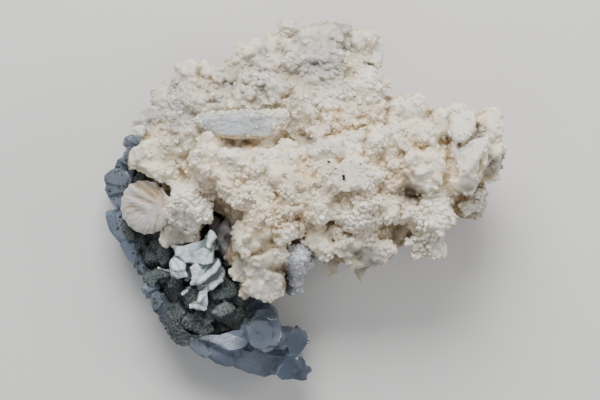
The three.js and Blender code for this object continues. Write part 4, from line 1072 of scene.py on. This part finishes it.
# broad crystal faces: lift over the matrix, thickness, tilt, way it leans, outline in mm
quartzFaces = [
    (2.4, 7, 10, 120, [(-16, -39), (-14.2, -35.6), (-11.4, -35.8), (-9.1, -36.8), (-7.6, -40.7),
                       (-7.2, -43.4), (-8.6, -46.4), (-12, -46.4), (-15, -43)]),
    (3.0, 7, 7, -100, [(-18.1, -39.2), (-15, -38.2), (-12.2, -38.4), (-10.1, -40.7), (-10.3, -47),
                       (-12.4, -47.7), (-16.5, -45.8), (-17.5, -43.8)]),
    (2.4, 5, 22, 110, [(-18.9, -32.9), (-16.5, -32.2), (-13.8, -33.7), (-14.6, -35.7), (-16.1, -37.6),
                       (-18.1, -37.2)]),
    (1.4, 4, 26, 170, [(-20.6, -38.4), (-19.6, -36.6), (-18.1, -37.6), (-17.5, -43.8), (-19.2, -42.3),
                       (-20.8, -40.7)]),
    (1.8, 5, 14, 95, [(-33.1, -45), (-30.6, -43.8), (-26.7, -43.8), (-24.3, -43.1), (-20.4, -44.6),
                      (-18.1, -45.4), (-19.2, -47), (-21.2, -48.3), (-24.3, -48.5), (-28.2, -46.2),
                      (-30.6, -45.8)]),
    (2.2, 3, 24, 70, [(-24.7, -43.8), (-23.1, -42.3), (-20.4, -42.7), (-18.5, -44.6), (-19.2, -45.8),
                      (-22, -45)]),
    (0.8, 5, 22, 215, [(-36.2, -45.8), (-33.7, -44.6), (-31.3, -45.4), (-30.2, -47.7), (-29.8, -49.3),
                       (-31.7, -50.1), (-34.1, -48.9), (-35.6, -47.3)]),
    (1.4, 4, 18, 60, [(-32.5, -42.3), (-30.2, -41.1), (-27.8, -43.1), (-28.2, -44.6), (-30.9, -44.6)]),
    (0.4, 6, 26, -110, [(-30, -49.7), (-30.2, -47.7), (-28.2, -47), (-25.9, -48.5), (-22.8, -48.9),
                        (-22.4, -52), (-25.1, -52.4), (-28.2, -51.2)]),
    (0.6, 7, 22, -95, [(-22.4, -48.7), (-17.3, -47.7), (-12.2, -48.1), (-6, -49.7), (-7.2, -53.2),
                       (-9.5, -55.1), (-12.6, -55.7), (-17.3, -54.6), (-22.4, -52)]),
    (1.2, 5, 16, 20, [(-9.9, -42.3), (-7.5, -42.7), (-5.2, -43), (-5, -46), (-7, -48), (-10.3, -47.7)]),
    (1.0, 6, 20, -20, [(-5.2, -42.4), (-4.8, -41.9), (-0.1, -42.3), (0.2, -45.8), (-2.1, -49.3),
                       (-5, -49.4), (-6, -46)]),
    (1.8, 3, 24, 160, [(-9.1, -45), (-7.2, -43.4), (-5.2, -43.8), (-6, -45.8), (-8.7, -47.3)]),
    (0.6, 6, 20, -40, [(-6, -49.7), (-2.1, -49.5), (-0.5, -51.2), (0.2, -55.1), (0.4, -57.1), (-1.3, -57.9),
                       (-3.7, -56.7), (-6.8, -56.9), (-9.3, -55)]),
    (1.4, 3, 30, 200, [(-3.6, -50), (-1.2, -51), (-0.6, -54), (-2.4, -55.4), (-3.8, -53)]),
    (1.6, 4, 34, 190, [(-49.7, -26.7), (-48.5, -25.1), (-47.1, -26.7), (-47.1, -28.3), (-48.5, -30.6),
                       (-50.4, -31.4), (-50.1, -28.6)]),
    (0.8, 5, 24, 210, [(-48.5, -31), (-45.4, -30.2), (-45, -32.9), (-46.9, -34.5), (-48.1, -34.5)]),
    (1.6, 5, 14, 60, [(-45.4, -30.6), (-42.3, -30.2), (-39.9, -32.2), (-40.3, -34.5), (-42.6, -34.9),
                      (-45, -33.3)]),
    (0.8, 5, 24, 230, [(-48.1, -34.9), (-45.4, -33.7), (-42.3, -35.3), (-41.9, -37.2), (-43.4, -38.8),
                       (-45.4, -37.2)]),
    (0.8, 5, 26, 215, [(-43, -39.9), (-41.9, -37.6), (-40.3, -37.6), (-39.1, -40.7), (-37.6, -43.8),
                       (-36.8, -45.8), (-38.7, -46), (-41.1, -44.8), (-42.8, -42.7)]),
    (1.6, 5, 12, 200, [(-40.3, -37.6), (-38.7, -36.4), (-35.2, -36.8), (-33.7, -40.7), (-32.1, -42.3),
                       (-33.7, -44.6), (-36, -44.2), (-39.1, -40.7)]),
    (0.8, 5, 30, 190, [(-63.1, -5), (-62.6, -3.5), (-60.8, -3.2), (-59.7, -5.8), (-59.5, -8.5),
                       (-59, -11.1), (-60.2, -11.1), (-62.1, -8.5)]),
    (0.8, 5, 26, 205, [(-59, -11.1), (-57.2, -11.7), (-55.3, -13), (-53.6, -13), (-53.5, -19),
                       (-54.9, -19.3), (-56.9, -17.3), (-58.5, -14.4)]),
    (0.8, 5, 28, 215, [(-54.9, -19.3), (-52, -19), (-51, -21.6), (-49.4, -24.5), (-50.3, -24.9),
                       (-53, -21.9)]),
    (1.4, 4, 40, 10, [(-53.6, -13), (-52.5, -10.1), (-51.9, -13), (-52.4, -19), (-53.5, -19)]),
    (1.0, 6, 10, 160, [(-63.8, 7.9), (-61.5, 9.9), (-56.9, 9.2), (-55.3, 7), (-56.2, 5), (-60.5, 5.3),
                       (-63.5, 6)]),
    (0.8, 5, 14, 200, [(-63.6, 4.7), (-60.5, 5), (-56.9, 4.7), (-56.9, 3), (-60.8, 2.4), (-62.8, 2)]),
    (0.6, 5, 16, 190, [(-62.5, 1.7), (-58.2, 2.4), (-57.9, -1.2), (-59.9, -1.9), (-61.8, -0.3)]),
]


def paintQuartz(piece, share=1.0):
    points = cornersOf(piece)
    setFloat(piece, "dust", placesOn(points, quartz["dusted"]) * share)
    setFloat(piece, "milk", placesOn(points, quartz["milk"]) - placesOn(points, quartz["clear"]))


def pointSeed():
    deselectAll()
    bpy.ops.mesh.primitive_cylinder_add(vertices=6, radius=0.42, depth=1.6, location=(0, 0, 0.3))
    seed = bpy.context.object
    bpy.ops.object.mode_set(mode="EDIT")
    bpy.ops.mesh.select_all(action="DESELECT")
    bpy.ops.object.mode_set(mode="OBJECT")
    for face in seed.data.polygons:
        face.select = face.normal.z > 0.9
    bpy.ops.object.mode_set(mode="EDIT")
    bpy.ops.mesh.extrude_region_move(TRANSFORM_OT_translate={"value": (0, 0, 0.4)})
    bpy.ops.transform.resize(value=(0.12, 0.3, 1))
    bpy.ops.object.mode_set(mode="OBJECT")
    return seedShape(seed)


def grownOutline(outline, share):
    plan = np.array(outline)
    middle = plan.mean(axis=0)
    return (middle + (plan - middle) * share).tolist()


def steepShare(centres, normals):  # the wall, clear of the floor and of the top
    return (np.abs(normals[:, 2]) < 0.7) * (centres[:, 2] > 2.5 * mm) * (centres[:, 2] < 15 * mm)


def lowShare(corners):
    return np.clip((15.5 * mm - corners[:, 2]) / (3 * mm), 0, 1)


def rimShare(centres, normals):
    return (centres[:, 2] > 9 * mm) * (0.25 + np.clip(normals[:, 2], 0, 1)) * (normals[:, 2] > -0.3)


def makeQuartz():
    matrix = copyOfNode("quartz_plate", "quartzMatrix")
    remeshed(matrix, quartz["voxel"])
    rough = surfaceTexture("quartzRough", "CLOUDS", quartz["roughSize"], noise_depth=3)
    chips = surfaceTexture("quartzChips", "VORONOI", quartz["chipSize"])
    roughened(matrix, rough, quartz["roughLift"], 0.55)
    roughened(matrix, chips, -quartz["chipLift"], 0.3)
    for size, lift in quartz["lumps"]:
        budded(matrix, size, lift)
    settled(matrix, 1)
    grown = [(*row[:4], grownOutline(row[4], quartz["faceGrowth"])) for row in quartzFaces]
    faces = setDown("quartzFaces", grown, treeOf(matrix), quartz["faceRounding"], quartz["fallback"])
    random = np.random.default_rng(9)
    places, normals = spots(matrix, quartz["wallCrystals"], random, steepShare)
    sizes = sizesOf(len(places), random, *quartz["wallSize"], quartz["wallLength"])
    wallCrystals = scattered("wallCrystals", pointSeed(), places - normals * sizes[:, 2:3] * 0.8,
                             turns(normals, random, 0.35), sizes)
    matrix = joinedPieces("quartzMatrix", [matrix, faces, wallCrystals])
    remeshed(matrix, quartz["joinVoxel"])
    budded(matrix, *quartz["wallLumps"], lowShare)
    wave = surfaceTexture("quartzWave", "CLOUDS", quartz["waveSize"], noise_depth=2)
    roughened(matrix, wave, quartz["waveLift"])
    applied(matrix, "DECIMATE", ratio=quartz["facets"])
    insideBox(matrix)
    smoothShaded(matrix, 20)
    random = np.random.default_rng(8)
    places, normals = spots(matrix, quartz["points"], random, rimShare)
    sizes = sizesOf(len(places), random, *quartz["pointSize"])
    points = scattered("quartzPoints", pointSeed(), places - normals * sizes[:, 2:3] * 0.9,
                       turns(normals, random, 0.5), sizes)
    insideBox(points)
    for piece in (matrix, points):
        piece.data.materials.append(milkyQuartz)
        paintQuartz(piece)
        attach(piece, "root")
        print(piece.name, "faces", len(piece.data.polygons))
    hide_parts("quartz_plate")
    return matrix


quartzMatrix = makeQuartz()
report("quartz")


chlorite = {
    "voxel": 0.45 * mm,
    "crumbSize": 1.3 * mm, "crumbLift": 0.4 * mm,
    "flakes": 3400, "strayFlakes": 380, "flakeSize": (0.18 * mm, 0.55 * mm),
    "darkest": (-23, -40, 5, 0.8),
    # lighter, ashen places: x, y, reach in mm, how much
    "ash": [(-26, -35.6, 4, 1), (-36, -30.5, 3.4, 0.7), (-38, -38, 4, 0.8), (-24, -27, 3, 0.6),
            (-46, -24, 4, 0.4),
            (-32, -32, 3, 0.4), (-48, -15, 3, 0.3)],
}


# dusted crystals that stand in the chlorite
dustedBlocks = [
    (2.4, 5, 14, 60, [(-30.2, -36.4), (-28.2, -34.1), (-25.1, -32.5), (-21.6, -34.5), (-22.4, -36),
                      (-24.7, -37.2), (-26.7, -38.2)]),
    (1.0, 4, 20, -60, [(-26.7, -38.4), (-22.4, -36), (-18.9, -36), (-20.4, -39.2), (-20.8, -42.3),
                       (-24.3, -40.7)]),
    (1.6, 4, 8, 200, [(-39.5, -29.8), (-36.4, -27.9), (-33.7, -28.3), (-32.5, -30.2), (-34.5, -33.3),
                      (-36.8, -32.5)]),
    (1.2, 4, 18, 150, [(-49.7, -12.7), (-44.8, -12.1), (-44.8, -14.7), (-42.1, -16.3), (-42.5, -19.6),
                       (-45.4, -21.6), (-47.4, -17.3), (-49.4, -15)]),
    (1.2, 4, 20, 200, [(-58.5, -5.8), (-55.3, -8.5), (-53.6, -10.4), (-53.9, -13), (-56.6, -12.4),
                       (-58.5, -8.5)]),
    (1.4, 4, 16, 240, [(-49.7, -22.9), (-47.4, -21.6), (-44.1, -22.6), (-42.5, -23.9), (-44.8, -24.9),
                       (-48, -24.9)]),
    (1.2, 4, 22, 250, [(-44, -27.5), (-40.4, -26.6), (-38.6, -29.4), (-40.4, -32), (-43.6, -30.2)]),
    (1.2, 4, 18, 30, [(-31, -29.4), (-27.4, -28), (-22.6, -27.4), (-21, -30), (-24, -31.6),
                      (-29.6, -32.4)]),
    (0.6, 4, 20, 200, [(-52, -24), (-49, -22.5), (-46.5, -25.5), (-48, -28.5), (-51, -27)]),
    (0.8, 4, 20, 230, [(-43.5, -33), (-40, -32.5), (-37.5, -36), (-40, -38.5), (-43, -36.5)]),
    (0.8, 4, 16, 250, [(-35, -38.5), (-30.5, -38), (-28.5, -41.5), (-32, -43.6), (-35.5, -42)]),
    (0.6, 4, 20, 190, [(-56.5, -9), (-53.6, -8.5), (-51.5, -13), (-53, -17), (-55.6, -14)]),
    (0.6, 4, 16, 270, [(-27, -40.5), (-22.5, -40), (-19.6, -42), (-21.5, -44.4), (-26, -44)]),
]


def bedShare(centres, normals):
    return np.clip(normals[:, 2] + 0.3, 0, 1)


def dustShare(centres, normals):
    return placesOn(centres, quartz["dusted"]) * np.clip(normals[:, 2] - 0.2, 0, 1)


def makeChlorite():
    bed = copyOfNode("chlorite_crust", "chloriteBed")
    remeshed(bed, chlorite["voxel"])
    crumbs = surfaceTexture("chloriteCrumbs", "CLOUDS", chlorite["crumbSize"], noise_depth=3)
    roughened(bed, crumbs, chlorite["crumbLift"])
    blocks = setDown("chloriteBlocks", dustedBlocks, treeOf(bed), 0.14, 0.018)
    remeshed(blocks, 0.5 * mm)
    roughened(blocks, crumbs, 0.5 * chlorite["crumbLift"])
    bed.data.materials.append(chloriteDust)
    blocks.data.materials.append(chloriteDust)
    random = np.random.default_rng(12)
    places, normals = spots(bed, chlorite["flakes"], random, bedShare)
    sizes = sizesOf(len(places), random, *chlorite["flakeSize"])
    strayPlaces, strayNormals = spots(quartzMatrix, chlorite["strayFlakes"], random, dustShare)
    places, normals = np.concatenate([places, strayPlaces]), np.concatenate([normals, strayNormals])
    sizes = np.concatenate([sizes, sizesOf(len(strayPlaces), random, *chlorite["flakeSize"])])
    flakes = scattered("chloriteFlakes", rhombSeed(), places, turns(normals, random, 1.2), sizes)
    flakes.data.materials.append(chloriteDust)
    for piece in (bed, flakes, blocks):
        points = cornersOf(piece)
        # painted shade: darker towards the bottom of the bed and round the darkest place
        depth = np.clip((18 * mm - points[:, 2]) / (5 * mm), 0, 1)
        setFloat(piece, "recessShade", np.clip(depth + placesOn(points, [chlorite["darkest"]], 1.3), 0, 1))
        setFloat(piece, "ash", placesOn(points, chlorite["ash"]))
        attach(piece, "root")
    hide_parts("chlorite_crust")
    print("chlorite faces", len(bed.data.polygons), len(flakes.data.polygons))


makeChlorite()
report("chlorite")


def refined(node, name, finish, voxel, settle, textures):
    piece = copyOfNode(node, name)
    remeshed(piece, voxel)
    if settle:
        settled(piece, settle)
    for kind, size, lift in textures:
        texture = surfaceTexture(name + kind.capitalize(), kind, size)
        roughened(piece, texture, lift)
    piece.data.materials.append(finish)
    paint(piece)
    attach(piece, "root")
    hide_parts(node)
    return piece


whitePlates = refined("white_blades", "whitePlates", whiteCalcite, 0.35 * mm, 1,
                      [("CLOUDS", 2.5 * mm, 0.4 * mm)])
shellLens = refined("scalloped_shell", "shellLens", peachCalcite, 0.35 * mm, 40,
                    [("CLOUDS", 3 * mm, 0.6 * mm)])
shell = {
    "centre": (-46 * mm, -1 * mm), "ribs": 37, "ribDepth": 0.05 * mm,
    # grooves across it, carved and darkened with painted shade: width, depth, line in mm
    "grooves": [
        (1.2, 1.1, [(-54, 6), (-51.4, 3.6), (-48.2, 1.4)]),
        (1.1, 0.7, [(-56, 2.4), (-52, 0.6), (-49, -0.6)]),
        (0.9, 0.9, [(-50.8, 6.4), (-49, 4.4), (-46.8, 2)]),
        (0.7, 0.5, [(-46.4, 4), (-45, 1), (-44.6, -2)]), (0.6, 0.4, [(-46.5, -5), (-47.5, -10)]),
        (1.2, 0.4, [(-55, -2), (-51, -4)]),
    ],
}


def shapeShell(piece):
    corners = cornersOf(piece)
    across = corners[:, :2] - np.array(shell["centre"])
    angle, away = np.arctan2(across[:, 1], across[:, 0]), np.hypot(across[:, 0], across[:, 1])
    waver = noiseAt(corners, 250)
    rib = np.cos(angle * shell["ribs"] + 6 * waver) * np.clip((away - 2 * mm) / (6 * mm), 0, 1)
    groove = np.zeros(len(corners))
    for width, deep, line in shell["grooves"]:
        groove = np.maximum(groove, np.exp(-(gapToLine(corners, line) / (width * mm)) ** 2) * deep * mm)
    top = corners[:, 2] > 24 * mm
    corners[:, 2] += top * (rib * shell["ribDepth"] - groove)
    moveCorners(piece, corners)
    paint(piece)
    # painted shade in the grooves and between the ribs, lighter on the ribs, with a random waver
    setFloat(piece, "recessShade", np.clip(0.28 + groove / (1.5 * mm) - 0.2 * rib + 0.4 * waver, 0, 1))
    # warm tint: painted warm shade in the grooves, and a warmer middle
    core = np.clip(1.3 - away / (5 * mm), 0, 1)
    setFloat(piece, "warmth", np.clip(0.06 + groove / (3 * mm) + 0.3 * core, 0, 1))


shapeShell(shellLens)

fins = {
    "hinge": (-36 * mm, -27.2 * mm), "pleats": 27, "pleatLift": 0.16 * mm,
    "voxel": 0.26 * mm, "rounding": 0.2, "fallback": 0.0225,
    # names, sizes, octaves and lifts of the waves
    "waves": [("finWave", 2.2 * mm, 2, 0.7 * mm), ("finRidges", 0.9 * mm, 1, 0.35 * mm)],
    "creaseDepth": 1.5 * mm,
}

# fanned blades: lift over what lies below, thickness, tilt, way it leans, outline in mm
finRows = [
    (1.0, 1.6, 24, 20, [(-41, -15), (-37, -14.5), (-34.6, -16.4), (-35.4, -19.4), (-37.6, -19.8),
                        (-39.4, -18.2), (-41, -17.3)]),
    (1.2, 1.6, 18, 200, [(-35.2, -16.2), (-32.3, -15), (-29.9, -15.2), (-28.8, -17.4), (-29.2, -19.8),
                         (-31, -20.2), (-35, -19.8)]),
    (2.6, 1.6, 34, 170, [(-30.7, -12.4), (-30.3, -9.8), (-29.5, -9), (-28.4, -10.1), (-27.7, -11.4),
                         (-28.4, -12.7), (-29.4, -13.7), (-29.5, -15), (-30.3, -15.3), (-31, -14.4)]),
    (1.6, 1.0, 30, 60, [(-29.5, -16), (-28.7, -14.9), (-27.4, -13.9), (-26.9, -14), (-27.9, -15.2),
                        (-26.9, -15.2), (-28, -16), (-29, -16.3)]),
    (1.2, 2.6, 12, 120, [(-42.7, -19.1), (-41.5, -18), (-40.2, -18.6), (-38.2, -20), (-37.8, -22.4),
                         (-42, -22.4)]),
    (0.6, 2.0, 30, -90, [(-42.3, -22.2), (-37.8, -22.2), (-37.2, -24), (-40.5, -24.4), (-42.3, -23.6)]),
    (0.4, 1.4, 34, -10, [(-37.2, -20.6), (-35.4, -21.2), (-35.6, -23.2), (-36.6, -25.8), (-38.2, -25.7),
                         (-37.4, -24.2)]),
    (1.0, 1.8, 26, 190, [(-35.1, -20.3), (-33.4, -19.9), (-32.4, -22.5), (-34.4, -26), (-36.6, -27.3),
                         (-35.9, -25.5), (-35.4, -22.9)]),
    (0.8, 1.6, 14, 10, [(-33.6, -19.9), (-31, -19.8), (-29, -21.2), (-31, -23.8), (-34.2, -26.4),
                        (-33.2, -22.5)]),
    (2.2, 1.4, 38, 130, [(-29.4, -21.4), (-27.2, -18.2), (-26.2, -20.6), (-28.4, -23), (-31.4, -25.6),
                         (-34, -26.7), (-31.4, -23.6)]),
    (0.6, 1.4, 24, -50, [(-33.6, -27), (-31, -26.5), (-28, -25), (-27.1, -23.2), (-25.3, -22.6),
                         (-25.4, -24.5), (-27.4, -25.3), (-29.7, -26.5), (-32.3, -27.2)]),
    (1.2, 1.2, 30, 100, [(-30, -28.8), (-30.3, -27.2), (-28, -25.5), (-25.7, -25.2), (-25.7, -25.7),
                         (-27.4, -26.8), (-29, -28.5)]),
    (1.4, 1.2, 30, 60, [(-34, -31.7), (-33.6, -30.8), (-32.3, -29.6), (-31.3, -29.9), (-32.3, -31.4),
                        (-33.6, -32.7)]),
    (0.8, 1.4, 24, -90, [(-36.8, -33), (-33.4, -33.2), (-30.8, -34.6), (-31.8, -35.6), (-34, -34.6),
                         (-36.8, -34.4)]),
    (1.0, 1.0, 20, 130, [(-39.6, -29.6), (-36.6, -27.2), (-35.8, -27.9), (-39, -30.6)]),
    (0.6, 0.8, 10, 90, [(-46.9, -21.2), (-45.4, -21.7), (-42.5, -22.2), (-42.5, -22.9), (-44.8, -22.6),
                        (-46.7, -21.9)]),
]


def makeFins():
    whiteFins = setDown("whiteFins", finRows, treeOf(whitePlates, crownSkin), fins["rounding"],
                        fins["fallback"])
    remeshed(whiteFins, fins["voxel"])
    settled(whiteFins, 1)
    for name, size, octaves, lift in fins["waves"]:
        roughened(whiteFins, surfaceTexture(name, "CLOUDS", size, noise_depth=octaves), lift)
    corners = cornersOf(whiteFins)
    angle = np.arctan2(corners[:, 1] - fins["hinge"][1], corners[:, 0] - fins["hinge"][0])
    pleat = np.cos(angle * fins["pleats"] + 4 * noiseAt(corners, 300))
    corners[:, 2] += pleat * fins["pleatLift"]
    moveCorners(whiteFins, corners)
    whiteFins.data.materials.append(whiteCalcite)
    paint(whiteFins)
    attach(whiteFins, "root")
    average = averaged(heightMap(treeOf(whiteFins, whitePlates)), 2)
    for piece in (whiteFins, whitePlates):
        points = cornersOf(piece)
        # painted shade: the fins darken where they lie under their local average height, and between the
        # pleats
        creaseShade = np.clip(0.3 + (looked(average, points) - points[:, 2]) / fins["creaseDepth"], 0, 1)
        if piece == whiteFins:
            creaseShade = np.clip(creaseShade - 0.12 * pleat, 0, 1)
        setFloat(piece, "recessShade", creaseShade)
        setFloat(piece, "warmth", np.zeros(len(points)))
        setFloat(piece, "shade", 0.4 * np.clip((23 * mm - points[:, 2]) / (3 * mm), 0, 1))


makeFins()

# greyish lumps in the shade, in the same form as the blades
mauveRows = [
    (3, 8, 16, 40, [(-29, -12.4), (-28.1, -11.1), (-25.8, -11.7), (-22.8, -14), (-22.5, -16), (-23.8, -18),
                    (-26.1, -18), (-27.1, -15.7)]),
    (2, 7, 20, -60, [(-26.4, -18.3), (-23.8, -18), (-22.8, -18.6), (-23.1, -20.3), (-25.1, -20.8),
                     (-26.2, -19.6)]),
    (4, 8, 20, 80, [(-31, -5.6), (-27.6, -5), (-25.6, -8), (-26.6, -12), (-29.6, -11.6), (-31, -9)]),
    (5, 8, 24, 60, [(-28.1, -8.5), (-24.5, -4.9), (-22.5, -7.1), (-22.8, -10.4), (-22.1, -13),
                    (-24.5, -12.4), (-27.4, -11.1)]),
]


def makeMauve():
    bed = copyOfNode("chlorite_crust", "mauveFloor")
    mauveLumps = setDown("mauveLumps", mauveRows, treeOf(bed), 0.3, 0.0235)
    bpy.data.objects.remove(bed)
    remeshed(mauveLumps, 0.4 * mm)
    settled(mauveLumps, 2)
    roughened(mauveLumps, bpy.data.textures["finWave"], 0.9 * mm)
    mauveLumps.data.materials.append(mauveCalcite)
    paint(mauveLumps)
    setFloat(mauveLumps, "shade", 0.35 * zoneShare(cornersOf(mauveLumps), "shade"))
    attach(mauveLumps, "root")


makeMauve()

blade = {
    # the low face gets painted shade
    "shadedLowFace": 21.6 * mm,  # y of the edge of its low face
    "rightEnd": (-12 * mm, 25 * mm),  # x and y where its warm end begins
    "brightEnd": (-9, 27, 3.4, 0.9),
    "streaks": (180, 900, 900),
    "waves": [("CLOUDS", 5 * mm, 0.9 * mm), ("CLOUDS", 1.2 * mm, 0.35 * mm)],
}


def paintBlade(piece):
    corners = cornersOf(piece)
    waver = noiseAt(corners, 500) * 1.6 * mm
    x, y = corners[:, 0], corners[:, 1]
    # painted shade on the low face; the right end is a yellowish face of the blade's own
    shadedLowFace = np.clip((blade["shadedLowFace"] - y + 0.5 * waver) / (1.2 * mm), 0, 1)
    rightEnd = np.clip((x - blade["rightEnd"][0] + waver) / (4 * mm), 0, 1)
    rightEnd = rightEnd * np.clip((blade["rightEnd"][1] - y + waver) / (2 * mm), 0, 1)
    ochreAndWarmShade = np.maximum(shadedLowFace, rightEnd)
    setFloat(piece, "warmth", ochreAndWarmShade)
    streaks = noiseAt(corners * np.array(blade["streaks"]), 1)
    # recessShade: painted shade on the low face, plus the blade's own streaks
    setFloat(piece, "recessShade", np.clip(0.24 + ochreAndWarmShade * 0.5 + 0.5 * streaks, 0, 1))
    setFloat(piece, "shade", np.zeros(len(corners)))
    setFloat(piece, "tone", placesOn(corners, [blade["brightEnd"]]))


longBlade = refined("long_blade", "longBlade", greyCalcite, 0.3 * mm, 2, blade["waves"])
paintBlade(longBlade)
sugaryFinger = refined("sugary_finger", "sugaryFinger", sugaryCalcite, 0.4 * mm, 3,
                       [("VORONOI", 1.5 * mm, -0.7 * mm)])


def smallSugar(name, carrier, count, low, high, finish, weight=None):
    random = np.random.default_rng(21)
    places, normals = spots(carrier, count, random, weight)
    sizes = sizesOf(count, random, low, high)
    piece = scattered(name, rhombSeed(), places, turns(normals, random, 0.8), sizes)
    insideBox(piece)
    piece.data.materials.append(finish)
    paint(piece)
    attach(piece, "root")


def bladeEnds(centres, normals):
    right = np.clip((centres[:, 0] + 12 * mm) / (6 * mm), 0, 1)
    far = np.clip((centres[:, 1] - 26.4 * mm) / (1 * mm), 0, 1)
    left = np.clip((-31 * mm - centres[:, 0]) / (3 * mm), 0, 1)
    return 0.006 + right * 0.8 + far * 0.6 + left


smallSugar("fingerSugar", sugaryFinger, 900, 0.3 * mm, 0.75 * mm, fingerFinish)
smallSugar("bladeSugar", longBlade, 420, 0.25 * mm, 0.7 * mm, sugarCalcite, bladeEnds)
report("small pieces")

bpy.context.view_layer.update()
report("done")
